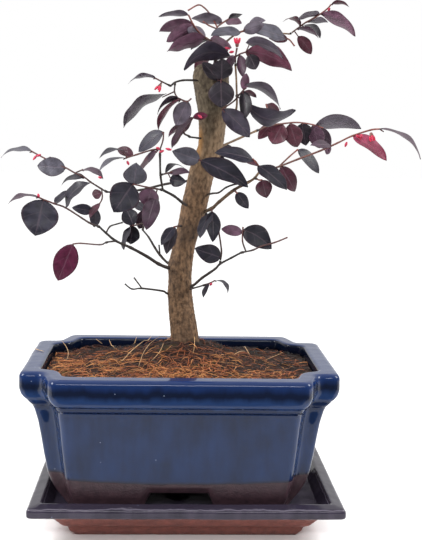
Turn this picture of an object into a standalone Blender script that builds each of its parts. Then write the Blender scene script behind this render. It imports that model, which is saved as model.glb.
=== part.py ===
"""Chinese fringe flower bonsai in a glazed pot on its drip tray.

Units are metres, +Z is up, +X is to the viewer's right and -Y is towards the viewer.
The origin is the middle of the tray's flat underside.

Tray, pot and soil are lofts through outlines that change from level to level. The trunk
and its limbs are one woody body. Each leafy twig is one body with its leaves. Stems and
leaves are placed by where the reference picture shows them: a pixel gives a line of
sight, and a depth in millimetres says how far along it the piece is.
"""

import math
from collections import namedtuple

import bmesh
import bpy
import numpy as np
from mathutils import Vector

MM = 0.001
GAP = 0.3 * MM

# Tray
TRAY_HALF_WIDTH = 101.5 * MM
TRAY_HALF_DEPTH = 78.7 * MM
TRAY_FLOOR = 19.0 * MM
TRAY_CORNER = 2.5 * MM

# Pot
POT_X = -5.0 * MM
POT_HALF_WIDTH = 104.2 * MM
POT_HALF_DEPTH = 77.5 * MM
POT_HEIGHT = 88.8 * MM
POT_BASE = TRAY_FLOOR + GAP
POT_RIM = POT_BASE + POT_HEIGHT
ARCH_HEIGHT = 12.0 * MM
ARCH_TOP_WIDTH = 38.0 * MM
ARCH_FOOT_WIDTH = 48.0 * MM
DRAIN_RADIUS = 9.0 * MM
MESH_SIDE = 30.0 * MM
MESH_THICK = 1.2 * MM

# Soil and trunk foot
SOIL_EDGE_DROP = 5.3 * MM
SOIL_MOUND = 14.5 * MM
HOLE_DEPTH = 22.0 * MM
TRUNK_FOOT_RADIUS = 9.6 * MM
HOLE_RADIUS = 10.15 * MM

# Blades and twigs
BLADE_THICK = 0.7 * MM
PETIOLE_WIDTH = 1.5 * MM
SHORT_PETIOLE = 2.5 * MM
LARGE_LEAF = 21.0 * MM
SMALL_LEAF = 15.0 * MM
LEAF_WIDTH_TO_LENGTH = 0.5
THIN_STEM = 1.5

# Line of sight: the eye, the way it looks and the picture's scale in pixels
EYE = Vector((-0.0145, -0.7105, 0.261))
EYE_TURN = math.radians(2.43)
EYE_PITCH = math.radians(7.39)
EYE_ROLL = math.radians(1.05)
FOCAL_PX = 1040.0
PICTURE_CENTRE = (211.0, 270.0)

COLOURS = {
    "drip_tray": ((0.045, 0.038, 0.055), 0.25),
    "pot": ((0.030, 0.060, 0.160), 0.18),
    "drain_mesh": ((0.020, 0.020, 0.020), 0.60),
    "soil": ((0.220, 0.100, 0.045), 0.95),
    "trunk": ((0.270, 0.170, 0.095), 0.85),
    "spray": ((0.070, 0.040, 0.060), 0.45),
    "bud": ((0.600, 0.025, 0.070), 0.50),
}


def new_collection(name):
    """Make a collection under the scene's own."""
    collection = bpy.data.collections.new(name)
    bpy.context.scene.collection.children.link(collection)
    return collection


def material(name, finish):
    """Principled material with one colour and roughness from COLOURS."""
    colour, roughness = COLOURS[finish]
    mat = bpy.data.materials.new(name)
    mat.use_nodes = True
    shader = mat.node_tree.nodes["Principled BSDF"]
    shader.inputs["Base Color"].default_value = (*colour, 1.0)
    shader.inputs["Roughness"].default_value = roughness
    mat.diffuse_color = (*colour, 1.0)
    return mat


def mesh_object(name, verts, faces, collection):
    """Object from vertices and faces, with outward faces."""
    mesh = bpy.data.meshes.new(name)
    mesh.from_pydata([tuple(v) for v in verts], [], faces)
    shape = bmesh.new()
    shape.from_mesh(mesh)
    bmesh.ops.recalc_face_normals(shape, faces=shape.faces)
    shape.to_mesh(mesh)
    shape.free()
    obj = bpy.data.objects.new(name, mesh)
    collection.objects.link(obj)
    return obj


def dress(obj, finish):
    """Give the object its own material and shade it smooth up to 35 degrees."""
    obj.data.materials.clear()
    obj.data.materials.append(material(obj.name, finish))
    obj.data.shade_smooth()
    obj.data.set_sharp_from_angle(angle=math.radians(35))


def as_mesh(obj, collection, weld=False):
    """Replace an object by the mesh it evaluates to; a curve has its loose caps welded."""
    graph = bpy.context.evaluated_depsgraph_get()
    mesh = bpy.data.meshes.new_from_object(obj.evaluated_get(graph))
    if weld:
        shape = bmesh.new()
        shape.from_mesh(mesh)
        bmesh.ops.remove_doubles(shape, verts=shape.verts, dist=0.00001)
        bmesh.ops.recalc_face_normals(shape, faces=shape.faces)
        shape.to_mesh(mesh)
        shape.free()
    solid = bpy.data.objects.new(obj.name + "_solid", mesh)
    solid.matrix_world = obj.matrix_world
    collection.objects.link(solid)
    name = obj.name
    bpy.data.objects.remove(obj)
    solid.name = name
    return solid


def is_closed(obj):
    """True where every edge of the evaluated mesh has two faces."""
    mesh = obj.evaluated_get(bpy.context.evaluated_depsgraph_get()).data
    shape = bmesh.new()
    shape.from_mesh(mesh)
    closed = all(edge.is_manifold for edge in shape.edges)
    shape.free()
    return closed


def boolean(obj, others, operation, collection):
    """Join or cut obj with a list of meshes through one modifier, and apply it.

    The exact solver leaves an open edge where blades graze each other; the manifold
    solver then takes its place.
    """
    group = new_collection(obj.name + "_others")
    for other in others:
        for home in list(other.users_collection):
            home.objects.unlink(other)
        group.objects.link(other)
    modifier = obj.modifiers.new("boolean", "BOOLEAN")
    modifier.operation = operation
    modifier.operand_type = "COLLECTION"
    modifier.collection = group
    if not is_closed(obj):
        modifier.solver = "MANIFOLD"
    result = as_mesh(obj, collection)
    for other in list(group.objects):
        bpy.data.objects.remove(other)
    bpy.data.collections.remove(group)
    return result


def eased(corners, steps=3):
    """Closed outline whose corners (x, y, radius) are eased by quadratic arcs."""
    points = []
    count = len(corners)
    for i, (x, y, radius) in enumerate(corners):
        corner = np.array((x, y))
        before = np.array(corners[i - 1][:2]) - corner
        after = np.array(corners[(i + 1) % count][:2]) - corner
        start = corner + before / np.linalg.norm(before) * radius
        end = corner + after / np.linalg.norm(after) * radius
        for t in np.linspace(0.0, 1.0, steps):
            points.append((1 - t) ** 2 * start + 2 * t * (1 - t) * corner + t ** 2 * end)
    return np.array(points)


def loft(name, rings, collection):
    """Closed body through rings (outline, height), capped at both ends."""
    count = len(rings[0][0])
    verts = [(x, y, z) for outline, z in rings for x, y in outline]
    faces = []
    for level in range(len(rings) - 1):
        low, high = level * count, (level + 1) * count
        for i in range(count):
            j = (i + 1) % count
            faces.append((low + i, low + j, high + j, high + i))
    faces.append(tuple(range(count)))
    faces.append(tuple(range(len(verts) - count, len(verts))))
    return mesh_object(name, verts, faces, collection)


def oblong(half_width, half_depth, radius):
    """Rectangle with eased corners, round the origin."""
    w, d = half_width, half_depth
    return eased([(w, -d, radius), (w, d, radius), (-w, d, radius), (-w, -d, radius)])


def notched(half_width, half_depth, notch_x, notch_y, ease=1.0, bite=1.0):
    """Oblong with its corners cut in, as the pot's plan is at every level, in millimetres.

    From each side the outline turns in along an ear, then forward and out to the front
    panel, so that one quarter has three corners. Bite is how much of the notch's depth
    the middle corner takes.
    """
    w, d = half_width * MM, half_depth * MM
    nx, ny = notch_x * MM, notch_y * MM
    ease = min(ease * 5.0 * MM, 0.3 * nx, 0.3 * ny)
    quarter = [(w, d - ny, ease), (w - 0.7 * nx, d - bite * ny, ease), (w - nx, d, ease)]
    corners = list(quarter)
    corners += [(-x, y, r) for x, y, r in reversed(quarter)]
    corners += [(-x, -y, r) for x, y, r in quarter]
    corners += [(x, -y, r) for x, y, r in reversed(quarter)]
    return eased(corners) + np.array((POT_X, 0.0))


def build_tray(parts):
    """Tray: floor, sloped wall, flat lip, hollow underside curve, stepped base."""
    # Side inset, front inset and height, in millimetres, from the floor outwards
    profile = [
        (14.5, 14.5, 19.0), (9.6, 9.6, 25.6), (8.2, 8.2, 27.2), (1.2, 1.2, 25.8), (0.0, 0.0, 24.4),
        (0.0, 0.0, 20.0), (1.0, 1.0, 19.2), (11.0, 9.3, 17.0), (16.0, 13.6, 14.2), (18.8, 15.9, 10.8),
        (20.4, 17.2, 8.9), (24.2, 21.2, 6.6), (25.0, 21.8, 3.6), (28.2, 24.6, 0.0),
    ]
    rings = []
    for side, front, height in profile:
        outline = oblong(TRAY_HALF_WIDTH - side * MM, TRAY_HALF_DEPTH - front * MM, TRAY_CORNER)
        rings.append((outline, height * MM))
    tray = loft("drip_tray", rings, parts)
    dress(tray, "drip_tray")
    return tray


# Pot outside, from the lip down: depth below the rim, side inset, front inset, notch width
# and notch depth, all in millimetres
POT_OUTSIDE = [
    (0.0, 2.8, 3.0, 21.0, 23.5),
    (0.9, 0.9, 0.9, 21.9, 23.8),
    (3.0, 0.0, 0.0, 22.0, 23.8),
    (11.0, 0.0, 0.0, 22.0, 23.8),
    (14.5, 1.1, 0.2, 22.4, 23.6),
    (17.6, 3.9, 1.4, 22.2, 22.2),
    (20.8, 7.4, 4.2, 20.2, 19.8),
    (22.2, 8.3, 6.5, 19.4, 18.4),
    (25.0, 9.6, 7.8, 18.2, 17.4),
    (33.0, 11.9, 8.9, 16.8, 16.2),
    (43.0, 13.6, 10.1, 15.8, 15.4),
    (55.0, 15.5, 11.3, 15.0, 14.5),
    (67.0, 17.8, 12.7, 14.0, 13.6),
    (74.0, 20.4, 13.5, 12.4, 13.0),
    (80.0, 24.2, 14.3, 10.0, 12.0),
    (84.5, 28.4, 15.2, 7.4, 10.6),
    (88.8, 32.2, 16.0, 5.6, 9.0),
]
# Pot inside, from the rim's inner edge down to the floor: depth below the rim, half width,
# half depth, notch width and notch depth, in millimetres
POT_INSIDE = [
    (0.0, 92.5, 64.8, 18.0, 23.0),
    (1.2, 91.2, 63.6, 17.6, 22.6),
    (20.0, 87.6, 62.4, 16.6, 21.4),
    (33.0, 85.0, 61.4, 16.0, 20.4),
    (62.0, 79.0, 58.2, 14.6, 18.0),
    (70.8, 76.0, 55.8, 14.0, 17.0),
]
INSIDE_BITE = 0.75
POT_FLOOR = POT_RIM - POT_INSIDE[-1][0] * MM
# Hollow under the pot: height above the foot, half width, half depth, notch, in millimetres
POT_UNDER = [(0.0, 64.0, 52.5, 8.0, 8.0), (12.0, 62.5, 51.0, 8.0, 8.0)]


def pot_inside_row(drop_mm):
    """Row of POT_INSIDE at a depth below the rim, between the rows that are given."""
    table = np.array(POT_INSIDE)
    return [float(np.interp(drop_mm, table[:, 0], table[:, k])) for k in range(5)]


def build_pot(parts):
    """Pot: one wall from the floor up the inside, over the rim and down to the foot."""
    rings = []
    for drop, half_w, half_d, nx, ny in reversed(POT_INSIDE):
        outline = notched(half_w, half_d, nx, ny, bite=INSIDE_BITE)
        rings.append((outline, POT_RIM - drop * MM))
    half_width, half_depth = POT_HALF_WIDTH / MM, POT_HALF_DEPTH / MM
    for drop, side, front, nx, ny in POT_OUTSIDE:
        outline = notched(half_width - side, half_depth - front, nx, ny)
        rings.append((outline, POT_RIM - drop * MM))
    for height, half_w, half_d, nx, ny in POT_UNDER:
        rings.append((notched(half_w, half_d, nx, ny, ease=0.6), POT_BASE + height * MM))
    pot = loft("pot", rings, parts)
    cutters = [foot_arch(parts), drain_hole(parts)]
    pot = boolean(pot, cutters, "DIFFERENCE", parts)
    dress(pot, "pot")
    return pot


def foot_arch(parts):
    """Cutter through the front and back of the foot: a prism wider at its foot."""
    top, foot = ARCH_TOP_WIDTH / 2, ARCH_FOOT_WIDTH / 2
    low, high = POT_BASE - 2 * MM, POT_BASE + ARCH_HEIGHT + 0.2 * MM
    reach = POT_HALF_DEPTH
    section = [(-foot, low), (foot, low), (foot, POT_BASE), (top, high), (-top, high), (-foot, POT_BASE)]
    verts = [(POT_X + x, y, z) for y in (-reach, reach) for x, z in section]
    count = len(section)
    faces = [(i, (i + 1) % count, count + (i + 1) % count, count + i) for i in range(count)]
    faces += [tuple(range(count)), tuple(range(count, 2 * count))]
    return mesh_object("foot_arch", verts, faces, parts)


def drain_hole(parts):
    """Cutter for the round hole in the pot's floor."""
    shape = bmesh.new()
    bmesh.ops.create_cone(shape, cap_ends=True, segments=20, radius1=DRAIN_RADIUS,
                          radius2=DRAIN_RADIUS, depth=30 * MM)
    mesh = bpy.data.meshes.new("drain_hole")
    shape.to_mesh(mesh)
    shape.free()
    cutter = bpy.data.objects.new("drain_hole", mesh)
    cutter.location = (POT_X, 0.0, POT_BASE + 15 * MM)
    parts.objects.link(cutter)
    bpy.context.view_layer.update()
    return cutter


def box(name, centre, size, collection):
    """Box mesh with its size and place in its vertices."""
    shape = bmesh.new()
    bmesh.ops.create_cube(shape, size=1.0)
    for vert in shape.verts:
        vert.co = Vector([c + v * s for c, v, s in zip(centre, vert.co, size)])
    mesh = bpy.data.meshes.new(name)
    shape.to_mesh(mesh)
    shape.free()
    obj = bpy.data.objects.new(name, mesh)
    collection.objects.link(obj)
    return obj


def build_drain_mesh(parts):
    """Square of plastic mesh that lies over the drainage hole, with nine openings."""
    centre = (POT_X, 0.0, POT_FLOOR + GAP + MESH_THICK / 2)
    plate = box("drain_mesh", centre, (MESH_SIDE, MESH_SIDE, MESH_THICK), parts)
    pitch = MESH_SIDE / 4
    holes = []
    for i in (-1, 0, 1):
        for j in (-1, 0, 1):
            place = (centre[0] + i * pitch, j * pitch, centre[2])
            holes.append(box("mesh_hole", place, (pitch * 0.7, pitch * 0.7, 4 * MESH_THICK), parts))
    plate = boolean(plate, holes, "DIFFERENCE", parts)
    dress(plate, "drain_mesh")
    return plate


def sight(px, py, depth_mm):
    """Point on the line of sight through a pixel, depth_mm behind the origin's plane."""
    forward = Vector((math.sin(EYE_TURN) * math.cos(EYE_PITCH),
                      math.cos(EYE_TURN) * math.cos(EYE_PITCH), -math.sin(EYE_PITCH)))
    right = Vector((math.cos(EYE_TURN), -math.sin(EYE_TURN), 0.0))
    up = right.cross(forward)
    across, down = px - PICTURE_CENTRE[0], py - PICTURE_CENTRE[1]
    x = math.cos(EYE_ROLL) * across + math.sin(EYE_ROLL) * down
    y = -math.sin(EYE_ROLL) * across + math.cos(EYE_ROLL) * down
    ray = forward + right * (x / FOCAL_PX) - up * (y / FOCAL_PX)
    return EYE + ray * ((depth_mm * MM - EYE.y) / ray.y)


def build_soil(parts, foot):
    """Soil: fills the pot, rises to the trunk and has a plain hole for the trunk's foot."""
    rings = []
    wall = GAP / MM
    hole_top = POT_RIM - SOIL_EDGE_DROP + SOIL_MOUND
    for drop in (POT_INSIDE[-1][0] - wall, 62.0, 33.0, 20.0, SOIL_EDGE_DROP / MM + 1.5):
        _, half_w, half_d, nx, ny = pot_inside_row(drop)
        outline = notched(half_w - wall, half_d - wall, nx, ny, bite=INSIDE_BITE)
        rings.append((outline, POT_RIM - drop * MM))
    _, half_w, half_d, nx, ny = pot_inside_row(SOIL_EDGE_DROP / MM)
    edge = notched(half_w - 1.2, half_d - 1.2, nx, ny, bite=INSIDE_BITE)
    around = 2 * math.pi * (np.arange(len(edge)) + 0.5) / len(edge)
    hole = np.stack((foot.x + HOLE_RADIUS * np.cos(around), foot.y + HOLE_RADIUS * np.sin(around)), 1)
    for share in (0.0, 0.2, 0.42, 0.62, 0.8, 0.92, 1.0):
        outline = edge * (1 - share) + hole * share
        rings.append((outline, POT_RIM - SOIL_EDGE_DROP + SOIL_MOUND * share ** 2.2))
    rings.append((hole, hole_top - HOLE_DEPTH))
    soil = loft("soil", rings, parts)
    recess = box("mesh_recess", (POT_X, 0.0, POT_FLOOR), (MESH_SIDE + 2 * GAP, MESH_SIDE + 2 * GAP,
                                                          2 * (MESH_THICK + 2 * GAP)), parts)
    soil = boolean(soil, [recess], "DIFFERENCE", parts)
    dress(soil, "soil")
    return soil


# Woody picks: pixel across, pixel down, depth in millimetres and, for the trunk, its radius
TRUNK = [
    (185.0, 338.0, 10, 9.6), (182.6, 318.0, 10, 8.8), (180.8, 300.0, 11, 8.3), (179.8, 282.0, 12, 8.1),
    (181.2, 263.0, 13, 8.1), (184.6, 244.0, 14, 8.0), (191.4, 218.0, 14, 8.4), (197.4, 193.0, 13, 8.7),
    (203.4, 166.0, 11, 8.6), (209.6, 148.0, 10, 8.6), (212.0, 128.0, 9, 9.0), (212.2, 107.0, 8, 10.0),
    (211.6, 92.0, 8, 11.4), (210.8, 78.0, 8, 12.2), (210.6, 69.0, 8, 10.4), (210.8, 65.0, 8, 7.0),
]

Stem = namedtuple("Stem", "points radii")
Leaf = namedtuple("Leaf", "base tip width swing side bow", defaults=(0, "", 0))
Spray = namedtuple("Spray", "spur stems leaves")
Bud = namedtuple("Bud", "seat tip petals")

# Limbs grow from inside the trunk or from another limb's own point; radii in millimetres
LIMBS = [
    Stem([(181, 270, 12), (169, 268, 8), (158.7, 264, 3), (147, 256.5, -4), (130.6, 247.6, -12),
          (116, 241, -20), (106, 233, -26), (99.6, 227, -30)], (1.6, 0.75)),
    Stem([(116, 241, -20), (107.7, 242, -16)], (0.75, 0.65)),
    Stem([(106, 233, -26), (110, 226.5, -24), (117, 224, -20), (122.5, 222.5, -17)], (0.65, 0.6)),
    Stem([(180, 268, 14), (168, 263, 16), (160, 255, 18), (154.8, 247.6, 20), (148.5, 237, 24),
          (142.7, 230, 28)], (1.2, 0.7)),
    Stem([(160, 255, 18), (159, 245, 15)], (0.7, 0.6)),
    Stem([(193, 209, 12), (183, 203, 3), (174, 196, -5), (162.8, 190, -12)], (1.3, 1.0)),
    Stem([(162.8, 190, -12), (160.5, 175, -16), (160, 156, -18)], (0.9, 0.75)),
    Stem([(200, 182, 12), (188, 181, 20), (166, 184, 26), (140, 190, 31), (120, 192, 35),
          (107, 192, 37)], (1.1, 0.75)),
    Stem([(212, 84, 8), (200, 81, 2), (193.5, 80.3, -4), (183, 80.3, -8), (175, 82.4, -11),
          (170.7, 86, -12)], (0.9, 0.7)),
    Stem([(212, 140, 9), (197.7, 138, 2), (190, 137, -4)], (0.8, 0.65)),
    Stem([(214, 72, 8), (216.5, 55, 7), (218, 44, 6), (218, 34, 6)], (1.7, 1.0)),
    Stem([(217.4, 50, 6.5), (226, 42, 12), (236, 34, 17), (245, 31, 21), (262, 31, 26), (277, 33, 30),
          (290, 34, 33)], (0.9, 0.65)),
    Stem([(213, 119, 9), (226, 115.5, 6), (236, 110, 1), (236.5, 85, -3), (235.5, 66, -4)], (0.95, 0.7)),
    Stem([(197, 214, 12), (211, 209, 6), (219, 202, 1), (234, 190, -4), (248.7, 182, -8),
          (254.7, 178, -10), (260, 172, -12), (270, 169, -16)], (1.5, 0.85)),
    Stem([(201, 196, 11), (212, 193.5, 4), (219, 192.5, -1), (226, 187.5, -5), (236, 184, -7),
          (248.7, 182, -8)], (0.8, 0.7)),
    Stem([(209, 151, 10), (222, 146, 18), (240, 138, 27), (256, 131, 34)], (1.1, 0.85)),
    Stem([(182, 287, 11), (192, 286, 5), (202, 278, -1), (215, 269, -7), (220, 264, -9), (231, 258, -13),
          (241, 252.7, -16)], (1.3, 0.7)),
    Stem([(182, 290, 11), (192, 288.5, 3), (203, 285.5, -4)], (0.8, 0.6)),
    Stem([(181, 295, 12), (167.6, 293.5, 8), (162.5, 291, 6), (142, 288.4, 0), (132, 289, -4),
          (125, 284, -7)], (0.9, 0.6)),
    Stem([(142, 288.4, 0), (134, 277.6, 3)], (0.65, 0.6)),
    Stem([(208, 158, 11), (207, 154, 24), (206, 150, 34)], (1.1, 0.8)),
    Stem([(192, 216, 14), (195, 213, 24), (197, 211.5, 30)], (1.0, 0.75)),
]

SPRAYS = {
    "left_reach": Spray(1.8, [
        Stem([(99.6, 227, -30), (88.8, 222.5, -33), (66, 208, -38), (54, 203.6, -40), (39, 197.6, -42)],
             (0.76, 0.6)),
    ], [
        Leaf((43.5, 200), (35, 235.8), 37, -4), Leaf((39, 195), (8, 203), 4, -7, "", 3),
        Leaf((66, 206.5), (90, 182.5), 11, -8, "", 4), Leaf((55, 203), (71, 190), 7, 8),
    ]),
    "left_red": Spray(1.8, [
        Stem([(107.7, 242, -16), (99.6, 244.7, -12), (80.7, 243.3, -8), (73, 244, -6)], (0.64, 0.6)),
    ], [Leaf((73, 245), (57.5, 281), 24, 3)]),
    "left_upper": Spray(1.8, [
        Stem([(107, 192, 37), (101.7, 189, 38), (90.5, 182, 40), (84, 177, 41), (75, 173, 42), (66, 168, 43),
              (48, 160, 46), (31, 151, 49)], (0.82, 0.62)),
        Stem([(101.7, 189, 38), (102, 199, 33), (96, 209, 30)], (0.64, 0.6)),
        Stem([(75, 173, 42), (83, 169.5, 46)], (0.61, 0.6)),
    ], [
        Leaf((33, 151.6), (0.5, 156.6), 4, 5, "", 3), Leaf((65, 170), (37, 165.5), 19, 6),
        Leaf((86, 176.5), (60, 186.5), 5, 8, "", 3), Leaf((82, 171), (103.5, 179), 6, -6, "", 3),
        Leaf((100.3, 203.4), (89.5, 218), 7, -8), Leaf((101.6, 192.6), (92, 195.5), 10, 7),
        Leaf((93, 211), (72, 207.5), 11, -6), Leaf((97.6, 210), (94.5, 227.5), 11, 6),
        Leaf((48, 158.5), (59, 161.5), 5, 9),
    ]),
    "left_back": Spray(2.2, [
        Stem([(142.7, 230, 28), (144, 223, 31), (146.5, 213, 34), (149, 200, 38)], (0.68, 0.6)),
        Stem([(144, 223, 31), (136, 225, 34), (130, 226, 37)], (0.7, 0.6)),
    ], [
        Leaf((133, 227), (130, 244.5), 17, 8), Leaf((131, 226), (123, 249.5), 6, -9),
        Leaf((133.5, 226.5), (126, 208), 17, 7), Leaf((147, 209), (138.5, 229), 14, 6),
        Leaf((146.5, 212), (134, 202), 10, 12),
    ]),
    "front_left": Spray(1.8, [
        Stem([(160, 156, -18), (160, 149.5, -19.5), (152, 150, -23), (137, 154.5, -28), (126, 158, -31)],
             (0.72, 0.6)),
        Stem([(160, 149.5, -19.5), (163, 140, -19), (163.5, 132, -18)], (0.65, 0.6)),
    ], [
        Leaf((126, 158.5), (98, 172), 4, -4, "", 3), Leaf((132.6, 154), (117, 148), 10, 8),
        Leaf((125, 151), (99, 158), 4, -6, "", 3), Leaf((162.5, 131), (138, 151.5), 14, 10),
        Leaf((158.5, 151), (133, 184), 6, -3), Leaf((154, 150.8), (149, 162), 6, -6),
    ]),
    "front_low": Spray(2.8, [
        Stem([(162.8, 190, -12), (157, 189, -18), (146, 187, -24), (133, 184, -29)], (0.8, 0.6)),
    ], [
        Leaf((134.6, 182), (136.5, 163), 24, -6), Leaf((131, 185), (113.5, 212), 31, -7),
        Leaf((152, 185.5), (146, 206), 21, 8), Leaf((156, 196), (146, 230), 17, -4),
    ]),
    "front_centre": Spray(2.5, [
        Stem([(160.5, 175, -16), (166, 173.5, -21), (172, 172, -25)], (0.64, 0.6)),
    ], [
        Leaf((168, 173.2), (190, 172.5), 7, -8), Leaf((165, 172.5), (184, 167.5), 4, 6, "", 5),
        Leaf((169.5, 179.5), (186, 182), 13, -8),
    ]),
    "upper_left": Spray(1.8, [
        Stem([(170.7, 86, -12), (162, 81.7, -15), (156, 78.5, -17)], (0.64, 0.6)),
        Stem([(162, 81.7, -15), (161, 83.5, -18)], (0.6, 0.6)),
    ], [Leaf((155.6, 78.2), (128, 83), 4, -6, "", 3)]),
    "upper_low": Spray(2.2, [
        Stem([(175, 82.4, -11), (174.5, 91.6, -16), (176.6, 96.5, -18), (180, 99, -19), (187, 101.4, -20),
              (191.4, 98.5, -21)], (0.64, 0.6)),
    ], [
        Leaf((166.5, 94), (123, 126.6), 11, 10, "", 4), Leaf((178, 99.5), (157, 114), 5, -7, "", 3),
        Leaf((180, 102), (157.7, 130), 6, 6, "", 3), Leaf((188.5, 102), (176, 126), 18, -5),
    ]),
    "trunk_left": Spray(1.8, [
        Stem([(190, 137, -4), (184, 133, -9), (185, 125, -12), (194, 117, -12)], (0.75, 0.6)),
    ], [
        Leaf((194, 117), (168, 136.5), 6, 6), Leaf((195, 119), (171, 148), 9, -2),
        Leaf((193, 118), (208, 115), 8, -6),
    ]),
    "trunk_front": Spray(9.5, [
        Stem([(204, 163, 11), (201.5, 161, -8), (199.5, 160, -13)], (0.72, 0.7)),
    ], [Leaf((199.5, 161), (172.5, 151), 18, -7), Leaf((200, 160), (248.5, 186), 21, -9)]),
    "trunk_low": Spray(9.5, [
        Stem([(190, 226, 14), (178, 226, 6), (174, 227, 2)], (0.64, 0.7)),
    ], [Leaf((175, 228), (161, 245), 11, -6), Leaf((175.5, 229), (166, 254), 13, -3, "d")]),
    "centre": Spray(14, [
        Stem([(214, 84, 8), (219, 82, -11), (221.5, 80, -15)], (0.72, 0.7)),
    ], [
        Leaf((221, 80.6), (221.5, 108), 26, -6), Leaf((221.5, 80), (222, 58.5), 22, -7),
        Leaf((219, 81), (202.5, 62), 13, -8),
    ]),
    "riser_low": Spray(2.4, [
        Stem([(236.4, 96, -1), (240, 94, -8), (243.5, 90, -12)], (0.75, 0.6)),
        Stem([(239.6, 94.2, -7.2), (234, 101, -12), (222, 109.5, -15)], (0.62, 0.6)),
    ], [
        Leaf((242.5, 86), (281, 108.5), 9, -7, "", 6), Leaf((243, 91), (246, 119.5), 13, -8),
        Leaf((243, 92), (256.5, 97), 6, 7), Leaf((243.5, 87), (246.5, 73), 9, -5),
        Leaf((248.5, 106), (295.5, 109), 17, 7, "", -13), Leaf((221.5, 110), (250, 137.5), 20, -6, "", 2),
    ]),
    "riser_top": Spray(1.8, [
        Stem([(235.5, 66, -4), (235.5, 57, -5), (237, 48, -5)], (0.68, 0.7)),
        Stem([(235.5, 57, -5), (240, 54, -9), (246, 52, -13)], (0.65, 0.6)),
    ], [
        Leaf((239.5, 55.5), (243, 77), 10, -5), Leaf((249, 54.5), (256, 69.5), 15, -4),
        Leaf((244.5, 50), (292, 70), 20, 2, "", 4), Leaf((234.6, 56), (226, 71), 9, -10),
        Leaf((231, 56.5), (183.5, 69), 17, -8, "", 8), Leaf((245.5, 43), (284, 58), 11, -13, "", 3),
    ]),
    "crown_left": Spray(2.6, [
        Stem([(218, 44, 6), (207, 38.5, 0), (199, 32, -4), (193, 24, -7), (188.5, 15, -9)], (0.76, 0.6)),
    ], [
        Leaf((188, 14.5), (158.6, 16), 6, -6), Leaf((194.5, 22.5), (159, 31), 12, 7),
        Leaf((194, 27), (166, 41.5), 13, -6), Leaf((206.5, 39.5), (166.5, 50.5), 14, -8),
        Leaf((206.5, 37), (187, 28), 13, -9), Leaf((207, 41), (190.7, 49.5), 5, 9),
        Leaf((209, 41.5), (232, 47.5), 9, -12),
    ]),
    "crown_top": Spray(2.2, [
        Stem([(218, 34, 6), (217, 27, 9), (214, 21, 12)], (0.76, 0.6)),
        Stem([(217, 27, 9), (224, 22, 14), (230, 18, 17)], (0.7, 0.6)),
        Stem([(217.3, 29, 8), (209, 25.5, 5), (203, 21.5, 3)], (0.6, 0.6)),
        Stem([(214, 21, 12), (209.5, 13.5, 10), (204, 7.5, 9), (198, 5, 8), (188, 10.5, 6)], (0.62, 0.6)),
    ], [
        Leaf((221, 20.5), (191.5, 17.5), 11, -7), Leaf((227, 16.5), (242.5, 14), 5, -7),
        Leaf((226, 20.5), (241.5, 23), 9, 10),
    ]),
    "crown_right": Spray(2.0, [
        Stem([(236, 34, 17), (239, 33, 12), (243, 31, 8)], (0.64, 0.6)),
    ], [
        Leaf((249, 23), (265.5, 20.5), 8, 5), Leaf((243, 31), (264, 24.5), 12, -3),
        Leaf((241, 33), (211, 34.5), 10, -9, "u"),
    ]),
    "crown_far": Spray(1.8, [
        Stem([(277, 33, 30), (282, 37, 27), (289, 39.5, 24), (294.5, 46, 22)], (0.7, 0.6)),
    ], [Leaf((287, 37), (248, 27.5), 14, -9, "u"), Leaf((288, 39), (269, 38.5), 9, 6)]),
    "top_right": Spray(1.2, [
        Stem([(290, 34, 33), (302, 25, 31), (306.5, 22, 30), (318, 15.5, 28), (327, 9, 26), (331, 4.6, 25)],
             (0.62, 0.6)),
    ], [
        Leaf((331, 4.4), (349.5, 6.8), 4, -5, "", 2), Leaf((320.5, 15), (296, 19.5), 6, -8),
        Leaf((298, 36), (311.3, 54.5), 12, -6, "", 1), Leaf((321.5, 15.5), (356, 35.5), 12, -6, "", 2),
        Leaf((301, 26), (283, 21.3), 4, -7, "", 4), Leaf((302, 25.8), (320.5, 37.5), 6, 9, "", 3),
        Leaf((307, 21.6), (328, 22), 6, 7), Leaf((297, 29.5), (319, 38), 5, -4, "", 2),
    ]),
    "right_back": Spray(2.0, [
        Stem([(256, 131, 34), (268, 126, 40), (284, 123.5, 45), (298, 122.5, 49), (312, 124.5, 53),
              (323, 128, 56)], (0.8, 0.6)),
        Stem([(268, 126, 40), (268, 112, 44), (266, 104, 46)], (0.65, 0.6)),
    ], [
        Leaf((283, 124), (272, 144), 21, -7), Leaf((290, 123.2), (297.5, 147.5), 18, -12),
        Leaf((302, 123), (306, 145.5), 18, 4), Leaf((313, 125), (320, 148.5), 16, -7),
        Leaf((315, 125), (361, 127.5), 15, 5, "", 2), Leaf((270, 126.5), (258, 139), 11, 5),
        Leaf((322, 128), (328, 153), 13, -2), Leaf((267, 104), (279.5, 112), 8, 7),
    ]),
    "right_node": Spray(2.2, [
        Stem([(260, 172, -12), (258, 165, -20), (253, 159, -25)], (0.64, 0.6)),
    ], [
        Leaf((254, 160), (215, 152), 14, -9), Leaf((258, 166.5), (240, 158), 6, 7),
        Leaf((259, 165), (287, 189.5), 16, -14), Leaf((259, 168), (272, 181), 9, -9),
    ]),
    "right_low": Spray(2.2, [
        Stem([(254.7, 178, -10), (259, 180, -14), (262, 180, -17)], (0.75, 0.6)),
    ], [Leaf((262, 176.5), (266.5, 198), 17, -4)]),
    "right_under": Spray(2.2, [
        Stem([(234, 190, -4), (235.5, 191.5, -9), (237, 193, -12)], (0.75, 0.65)),
    ], [Leaf((237, 192), (248.5, 208.5), 12, -4)]),
    "right_reach": Spray(1.8, [
        Stem([(270, 169, -16), (279, 166.6, -20), (298.5, 159, -27), (321, 150.5, -35), (337.5, 143, -41),
              (352, 136, -46), (370.6, 130, -52), (379.6, 129, -55)], (0.8, 0.6)),
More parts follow.
